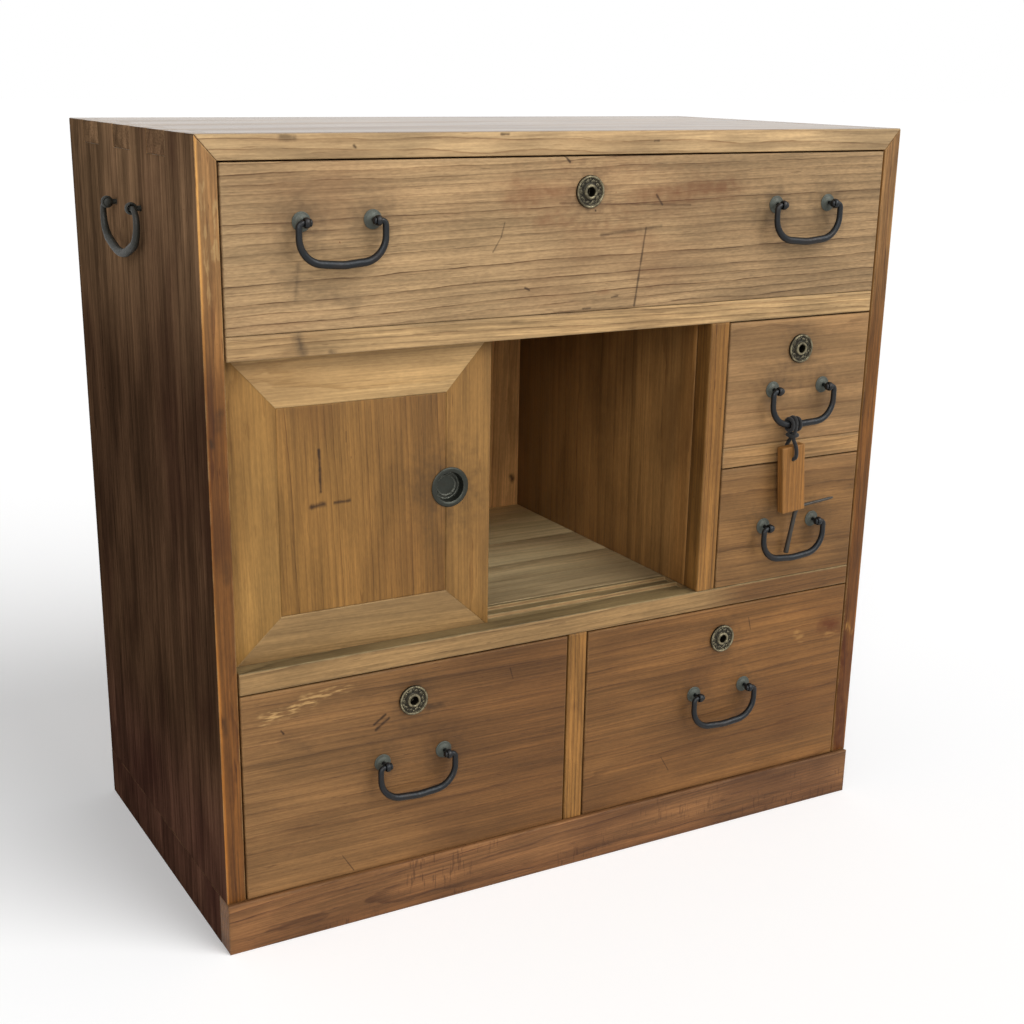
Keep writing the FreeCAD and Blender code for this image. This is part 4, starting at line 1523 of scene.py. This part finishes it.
@dataclass
class KeyFob:
    """The key on its wooden tag and cord, in millimetres."""

    hang: Vector = field(default_factory=lambda: Vector((215.0, -168.0, 384.5)))
    cord_below_bar: float = 31.0
    cord_diameter: float = 3.4
    cord_length: float = 92.2
    tag_left: float = 203.0
    tag_bottom: float = 304.5
    tag_width: float = 25.0
    lean: float = 5.0
    bar_radius: float = 3.1
    bar_rise: float = 0.2
    hitch_aside: float = 4.2
    hitch_slack: float = 0.6
    hitch_squeeze: float = 0.1
    hitch_degrees: float = 356.0
    bight_fall: float = 9.5
    bight_reach: float = 4.4
    key_from_left: float = 18.0
    key_radius: float = 2.5
    key_reach: Vector = field(default_factory=lambda: Vector((-7.3, 4.7, -41.0)))
    tang: float = 12.0
    pin_radius: float = 1.6
    pin_length: float = 40.0
    pin_seat: float = 4.0
    pin_above_bottom: float = 2.2

    def build(self) -> None:
        """Builds the tag, the key, the cord and its hitch."""
        Board(
            "key_tag", Finishes.TAG, UPRIGHT, worn_edge=0.35, least_edge=20.0, pith_depth=(0.012, 0.02),
        ).build()
        self._key()
        self._cord()
        self._hitch()

    def _hitch(self) -> None:
        """Turns the cord once more over the bar on each side, and once round its own two strands."""
        bar = self.hang + UP * self.bar_rise
        strand = self.cord_diameter / 2 - self.hitch_squeeze
        reach = self.bar_radius + strand + self.hitch_slack
        over = [(bar + RIGHT * side * self.hitch_aside, -OUT * reach, UP, RIGHT) for side in (-1, 1)]
        turns = []
        for pivot, start, heading, axis in (
            *over, (self.hang - UP * self.bight_fall, RIGHT * self.bight_reach, OUT, UP),
        ):
            ring = RoundBar((pivot + start) * MM, heading, strand * MM, 12)
            ring.turn(pivot * MM, axis, self.hitch_degrees, strand * MM, 40)
            turns.append(ring.finish("turn"))
        hand_over(joined(turns, "fob_hitch"), "key_fob", Finishes.CORD, "cord")

    def _key(self) -> None:
        """Draws the key's shank with a collar and a flat tip, and its cross pin."""
        hole = self.hang - UP * self.cord_below_bar
        lean = Matrix.Rotation(math.radians(-self.lean), 4, "Y")
        turn = Matrix.Translation(hole) @ lean @ Matrix.Translation(-hole)
        along = (turn.to_3x3() @ self.key_reach).normalized()
        length = self.key_reach.length
        start = turn @ Vector((self.tag_left + self.key_from_left, self.hang.y, self.tag_bottom))
        shank = RoundBar((start - along * self.tang * 0.5) * MM, along, self.key_radius * 0.9 * MM)
        for reach, radius, steps in (
            (self.tang * 0.5 + 0.4, 0.9, 2), (0.5, 1.0, 3), (1.2, 1.0, 3), (0.6, 0.82, 3),
            (length * 0.45, 0.78, 3), (length * 0.3, 0.86, 3), (length * 0.25 - 2.7, 0.95, 4), (0.6, 0.6, 2),
        ):
            shank.run(along * reach * MM, self.key_radius * radius * MM, steps)
        bar = shank.finish("shank")
        right = Vector((self.tag_left + self.tag_width, self.hang.y, self.tag_bottom + self.pin_above_bottom))
        heading = turn.to_3x3() @ RIGHT
        pin = RoundBar((turn @ (right - RIGHT * self.pin_seat)) * MM, heading, self.pin_radius * 0.9 * MM, 14)
        for share, radius, steps in ((0.9, 0.8, 8), (0.1, 0.5, 3)):
            pin.run(heading * self.pin_length * share * MM, self.pin_radius * radius * MM, steps)
        hand_over(joined([bar, pin.finish("pin")], "fob_key"), "key_fob", Finishes.KEY, "iron", "key")

    def _cord(self) -> None:
        """Hangs the cord over the pull's bar, both ends in the tag's hole."""
        hole = -self.cord_below_bar
        back = [
            (0, 0.5, hole), (0, 7.4, hole), (0, 7.4, hole + 11.0),
            (1.6, 2.6, -12.0), (1.2, 5.4, -4.4), (1.2, 5.8, 6.3),
        ]
        route = [(-x, -y, z) for x, y, z in back] + back[::-1]
        route = [self.hang + Vector(point) for point in route]
        curve = bpy.data.curves.new("fob_cord", "CURVE")
        curve.dimensions = "3D"
        spline = curve.splines.new("NURBS")
        spline.points.add(len(route) - 1)
        for point, at in zip(spline.points, route):
            point.co = (*(at * MM), 1.0)
        spline.order_u = 3
        spline.use_endpoint_u = True
        spline.resolution_u = 16
        curve.bevel_depth = self.cord_diameter / 2 * MM
        curve.bevel_resolution = 6
        curve.use_fill_caps = True
        piece = bpy.data.objects.new("fob_cord", curve)
        bpy.context.scene.collection.objects.link(piece)
        hand_over(piece, "key_fob", Finishes.CORD, "cord", "key_cord")


def pivot_of(joint: str) -> Vector:
    """Where a joint's axis passes, in the frame."""
    return Vector(next(j["pos_m"] for j in frame["joints"] if j["name"] == joint))


def keyhole_of(drawer: str) -> Vector:
    """The middle of a drawer's keyhole, on the drawer front.

    Args:
        drawer: The drawer's name.

    Returns:
        The point, in the frame.
    """
    openings = frame["record"]["physics"]["openings"]
    low, high = next(o["box_m"] for o in openings if o["name"] == f"{drawer}_keyhole")
    return Vector(((low[0] + high[0]) / 2, FRONT_Y, (low[2] + high[2]) / 2))


@dataclass
class Drawer:
    """One drawer: its front, its box, its pulls and its lock, in millimetres but for the pith."""

    name: str
    front: Finishes
    bails: tuple[str, ...]
    locked: bool = True
    pith_aside: Optional[float] = None
    bail: Bail = field(default_factory=Bail)
    posts: EyePosts = field(default_factory=EyePosts)
    plate: LockPlate = field(default_factory=LockPlate)
    lock_edge: float = 0.4
    lock_touch: float = 0.1

    def build(self) -> None:
        """Builds the drawer's pieces."""
        Board(f"{self.name}_front", self.front, pith_aside=self.pith_aside).build()
        Board(f"{self.name}_box", Finishes.DRAWER_BOX, worn_edge=0.5).build()
        self._pulls()
        if self.locked:
            self._lock()

    def _pulls(self) -> None:
        """Builds the bails with their posts, rosettes and clinched ends."""
        posts = self.posts
        eyes, rosettes = [], []
        for owner in self.bails:
            pivot = pivot_of(f"{owner}_bail_swing")
            bail = self.bail.build(f"{owner}_bail_iron", Matrix.Translation(pivot))
            hand_over(bail, f"{owner}_bail", Finishes.IRON, "iron", f"{owner}_bail")
            for side in (-1, 1):
                ring = pivot + RIGHT * side * posts.pitch / 2 * MM
                at = Vector((ring.x, FRONT_Y, ring.z))
                eyes.append(posts.eye(ring, OUT, RIGHT, posts.standoff + posts.board_thickness))
                eyes.append(posts.clinch(at - OUT * posts.board_thickness * MM))
                rosettes.append(posts.rosette(at))
        iron = joined(eyes, f"{self.name}_eye_posts")
        hand_over(iron, self.name, Finishes.IRON, "iron", f"{self.name}_pull_posts")
        hand_over(joined(rosettes, f"{self.name}_rosettes"), self.name, Finishes.ROSETTE, "iron")

    def _lock(self) -> None:
        """Builds the lock's plate, its case behind the front and its bolt."""
        node = f"{self.name}_lock"
        plate = self.plate.build(f"{node}_plate", keyhole_of(self.name))
        hand_over(plate, self.name, Finishes.BRONZE, "bronze", node)
        case = node_copy(node, f"{node}_case")
        take(case)
        bpy.ops.object.mode_set(mode="EDIT")
        bpy.ops.mesh.select_all(action="DESELECT")
        shape = bmesh.from_edit_mesh(case.data)
        for vertex in shape.verts:
            vertex.select = vertex.co.y < FRONT_Y - self.lock_touch * MM
        shape.select_flush_mode()
        bmesh.update_edit_mesh(case.data)
        bpy.ops.mesh.select_linked()
        bpy.ops.mesh.delete(type="VERT")
        bpy.ops.object.mode_set(mode="OBJECT")
        bolt = f"{self.name}_bolt"
        for piece, body, *stands_for in ((case, self.name), (node_copy(bolt, f"{bolt}_steel"), bolt, bolt)):
            apply_modifier(piece, "BEVEL", width=self.lock_edge * MM, segments=2, limit_method="ANGLE")
            smooth(piece)
            hand_over(piece, body, Finishes.STEEL, "bronze", *stands_for)


@dataclass
class Door:
    """One sliding door: its frame, its panel and its pull."""

    name: str
    stile: Finishes = Finishes.DOOR_STILE
    panel: Finishes = Finishes.DOOR_PANEL

    def build(self) -> None:
        """Builds the door's pieces."""
        Board(f"{self.name}_frame", Finishes.DOOR_RAIL, worn_edge=0.4, upright_finish=self.stile).build()
        Board(f"{self.name}_panel", self.panel, UPRIGHT, worn_edge=0.4, pith_aside=0.105).build()
        low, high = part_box(f"{self.name}_pull")
        at = (low + high) / 2
        at.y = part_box(f"{self.name}_frame")[0].y
        pull = DoorPull().build(f"{self.name}_cup", at)
        hand_over(pull, self.name, Finishes.DOOR_BRONZE, "bronze", f"{self.name}_pull")


@dataclass
class Carcass:
    """The case, its inner boards, its base and its carrying handles, in millimetres."""

    handle: Bail = field(default_factory=lambda: Bail(
        pitch=66.0, leg_spread=91.0, drop=40.0, bar_radius=3.5, leg_radius=2.6, pin_radius=2.2,
        corner_radius=20.0, eye_width=5.0, knob_radius=3.4, sag=16.0, bottom_radius=60.0, hammer_depth=0.25,
    ))
    handle_posts: EyePosts = field(default_factory=lambda: EyePosts(
        pitch=66.0, standoff=7.5, eye_radius=4.8, hole_radius=2.55, eye_width=5.0, shank_radius=2.4,
    ))
    spike_depth: float = 12.0

    def build(self) -> None:
        """Builds the boards and the handles."""
        inner, outer, side = Finishes.INNER, Finishes.BACK_OUTER, Finishes.SIDE
        top_faces = ((OUT, Finishes.TOP_EDGE), (-OUT, outer), (-RIGHT, side), (RIGHT, side), (-UP, inner))
        side_faces = ((OUT, Finishes.SIDE_EDGE), (UP, Finishes.TOP_FACE))
        for board in (
            Board("top_board", Finishes.TOP_FACE, ACROSS, top_faces, 0.9),
            Board("left_side", side, UPRIGHT, (*side_faces, (RIGHT, inner)), 0.9),
            Board("right_side", side, UPRIGHT, (*side_faces, (-RIGHT, inner)), 0.9),
            Board("upper_rail", Finishes.RAIL, ACROSS),
            Board("middle_rail", Finishes.SILL, ACROSS, ((UP, Finishes.SILL_TOP),)),
            Board("small_rail", Finishes.RAIL, ACROSS),
            Board("upper_post", Finishes.POST, UPRIGHT),
            Board("lower_post", Finishes.POST, UPRIGHT),
            Board("upper_partition", inner, UPRIGHT),
            Board("lower_partition", inner, UPRIGHT),
            Board("upper_shelf", inner, ACROSS),
            Board("small_shelf", inner, ACROSS),
            Board("compartment_floor", Finishes.FLOOR, ACROSS, tone_spread=0.14),
            Board("back_boards", Finishes.BACK, UPRIGHT, ((-OUT, outer),), tone_spread=0.16),
            Board("bottom_boards", inner, ACROSS),
            Board("drawer_guides", inner, DEEP),
            Board("plinth_front", Finishes.PLINTH, ACROSS, worn_edge=1.0),
            Board("plinth_frame", side, UPRIGHT, worn_edge=0.4),
        ):
            board.build()
        self._handles()

    def _handles(self) -> None:
        """Builds the carrying handles in their eye posts."""
        eyes = []
        posts = self.handle_posts
        for name, side in (("left", -1), ("right", 1)):
            pivot = pivot_of(f"{name}_handle_swing")
            place = Matrix.Translation(pivot) @ Matrix.Rotation(math.radians(90 * side), 4, "Z")
            piece = self.handle.build(f"{name}_handle_iron", place)
            hand_over(piece, f"{name}_handle", Finishes.HANDLE, "iron", f"{name}_side_handle")
            for end in (-1, 1):
                ring = pivot - OUT * end * posts.pitch / 2 * MM
                eyes.append(posts.eye(ring, RIGHT * side, -OUT, posts.standoff + self.spike_depth))
        hand_over(joined(eyes, "handle_eye_posts"), "carcass", Finishes.HANDLE, "iron", "side_handle_posts")


@dataclass
class Studio:
    """The camera, the pale floor and the soft light. Angles in degrees."""

    azimuth: float = 29.249
    elevation: float = 17.723
    roll: float = 0.813
    eye: Vector = field(default_factory=lambda: Vector((-0.6631, -1.1922, 0.6807)))
    lens: float = 53.62
    shift: tuple[float, float] = (0.0204, 0.0432)
    floor_size: float = 60.0
    floor_colour: Colour = (0.93, 0.93, 0.93, 1.0)
    floor_roughness: float = 0.9
    floor_lift: float = 0.145
    sky_light: float = 0.33
    lamps: tuple[tuple[str, float, float, Vector], ...] = (
        ("key", 2.3, 46.0, Vector((0.42, -0.66, 0.62))),
        ("fill", 1.2, 34.0, Vector((-0.46, -0.78, 0.42))),
    )

    def build(self) -> None:
        """Sets the camera, the floor, the sky and the lamps."""
        self._camera()
        self._floor()
        self._sky()
        self._lamps()
        bpy.context.scene.view_settings.view_transform = "Standard"

    def _camera(self) -> None:
        """Stands the camera where the photograph was taken."""
        turn, rise, tilt = (math.radians(a) for a in (self.azimuth, self.elevation, self.roll))
        ahead = Vector((math.sin(turn) * math.cos(rise), math.cos(turn) * math.cos(rise), -math.sin(rise)))
        level = Vector((math.cos(turn), -math.sin(turn), 0))
        upright = level.cross(ahead)
        aside = level * math.cos(tilt) + upright * math.sin(tilt)
        over = upright * math.cos(tilt) - level * math.sin(tilt)
        camera = bpy.data.objects.new("camera", bpy.data.cameras.new("camera"))
        bpy.context.scene.collection.objects.link(camera)
        axes = Matrix((aside, over, -ahead)).transposed().to_4x4()
        camera.matrix_world = Matrix.Translation(self.eye) @ axes
        camera.data.lens = self.lens
        camera.data.shift_x, camera.data.shift_y = self.shift
        bpy.context.scene.camera = camera

    def _floor(self) -> None:
        """Lays a pale floor that shows white to the camera and keeps the shadow."""
        bpy.ops.object.select_all(action="DESELECT")
        bpy.ops.mesh.primitive_plane_add(size=self.floor_size, location=(0, 0, 0))
        floor = bpy.context.object
        floor.name = "floor"
        made = bpy.data.materials.new("floor")
        sheet = NodeSheet(made)
        sheet.surface(Base_Color=self.floor_colour, Roughness=self.floor_roughness, Specular_IOR_Level=0.0)
        glow = sheet.add("ShaderNodeEmission")
        sheet.put(glow.inputs["Strength"], sheet.times(sheet.shown(), self.floor_lift))
        both = sheet.add("ShaderNodeAddShader")
        sheet.put(both.inputs[0], sheet.tree.nodes["Principled BSDF"].outputs["BSDF"])
        sheet.put(both.inputs[1], glow.outputs["Emission"])
        sheet.put(sheet.tree.nodes["Material Output"].inputs["Surface"], both.outputs["Shader"])
        floor.data.materials.append(made)

    def _sky(self) -> None:
        """A white surround: plain light on the object, full white to the camera and in reflections."""
        world = bpy.data.worlds.new("studio")
        bpy.context.scene.world = world
        sheet = NodeSheet(world)
        sky = sheet.tree.nodes["Background"]
        sheet.put(sky.inputs["Color"], WHITE)
        strength = sheet.between(sheet.shown(), 0.0, 1.0, self.sky_light, 1.0, "LINEAR")
        sheet.put(sky.inputs["Strength"], strength)

    def _lamps(self) -> None:
        """Lights everything alike from wide sources in front: one above to the right, one low to the left."""
        for name, power, spread, source in self.lamps:
            lamp = bpy.data.lights.new(name, "SUN")
            lamp.energy = power
            lamp.angle = math.radians(spread)
            holder = bpy.data.objects.new(name, lamp)
            bpy.context.scene.collection.objects.link(holder)
            holder.rotation_mode = "QUATERNION"
            holder.rotation_quaternion = (-source).to_track_quat("-Z", "Y")


def main() -> None:
    """Builds the chest's sub-assemblies in order."""
    logging.basicConfig(level=logging.INFO, format="%(name)s: %(message)s")
    Studio().build()
    KeyFob().build()
    Carcass().build()
    for assembly in (
        Drawer("top_drawer", Finishes.TOP_FRONT, ("top_drawer_left", "top_drawer_right"), pith_aside=0.15),
        Drawer("upper_small_drawer", Finishes.SMALL_FRONT, ("upper_small_drawer",), bail=Bail(sag=1.2)),
        Drawer("lower_small_drawer", Finishes.SMALL_FRONT, ("lower_small_drawer",), locked=False),
        Drawer("lower_left_drawer", Finishes.LOWER_FRONT, ("lower_left_drawer",)),
        Drawer("lower_right_drawer", Finishes.LOWER_FRONT, ("lower_right_drawer",)),
        Door("front_door"),
        Door("rear_door", Finishes.REAR_STILE, Finishes.REAR_PANEL),
    ):
        assembly.build()


if __name__ == "__main__":
    main()
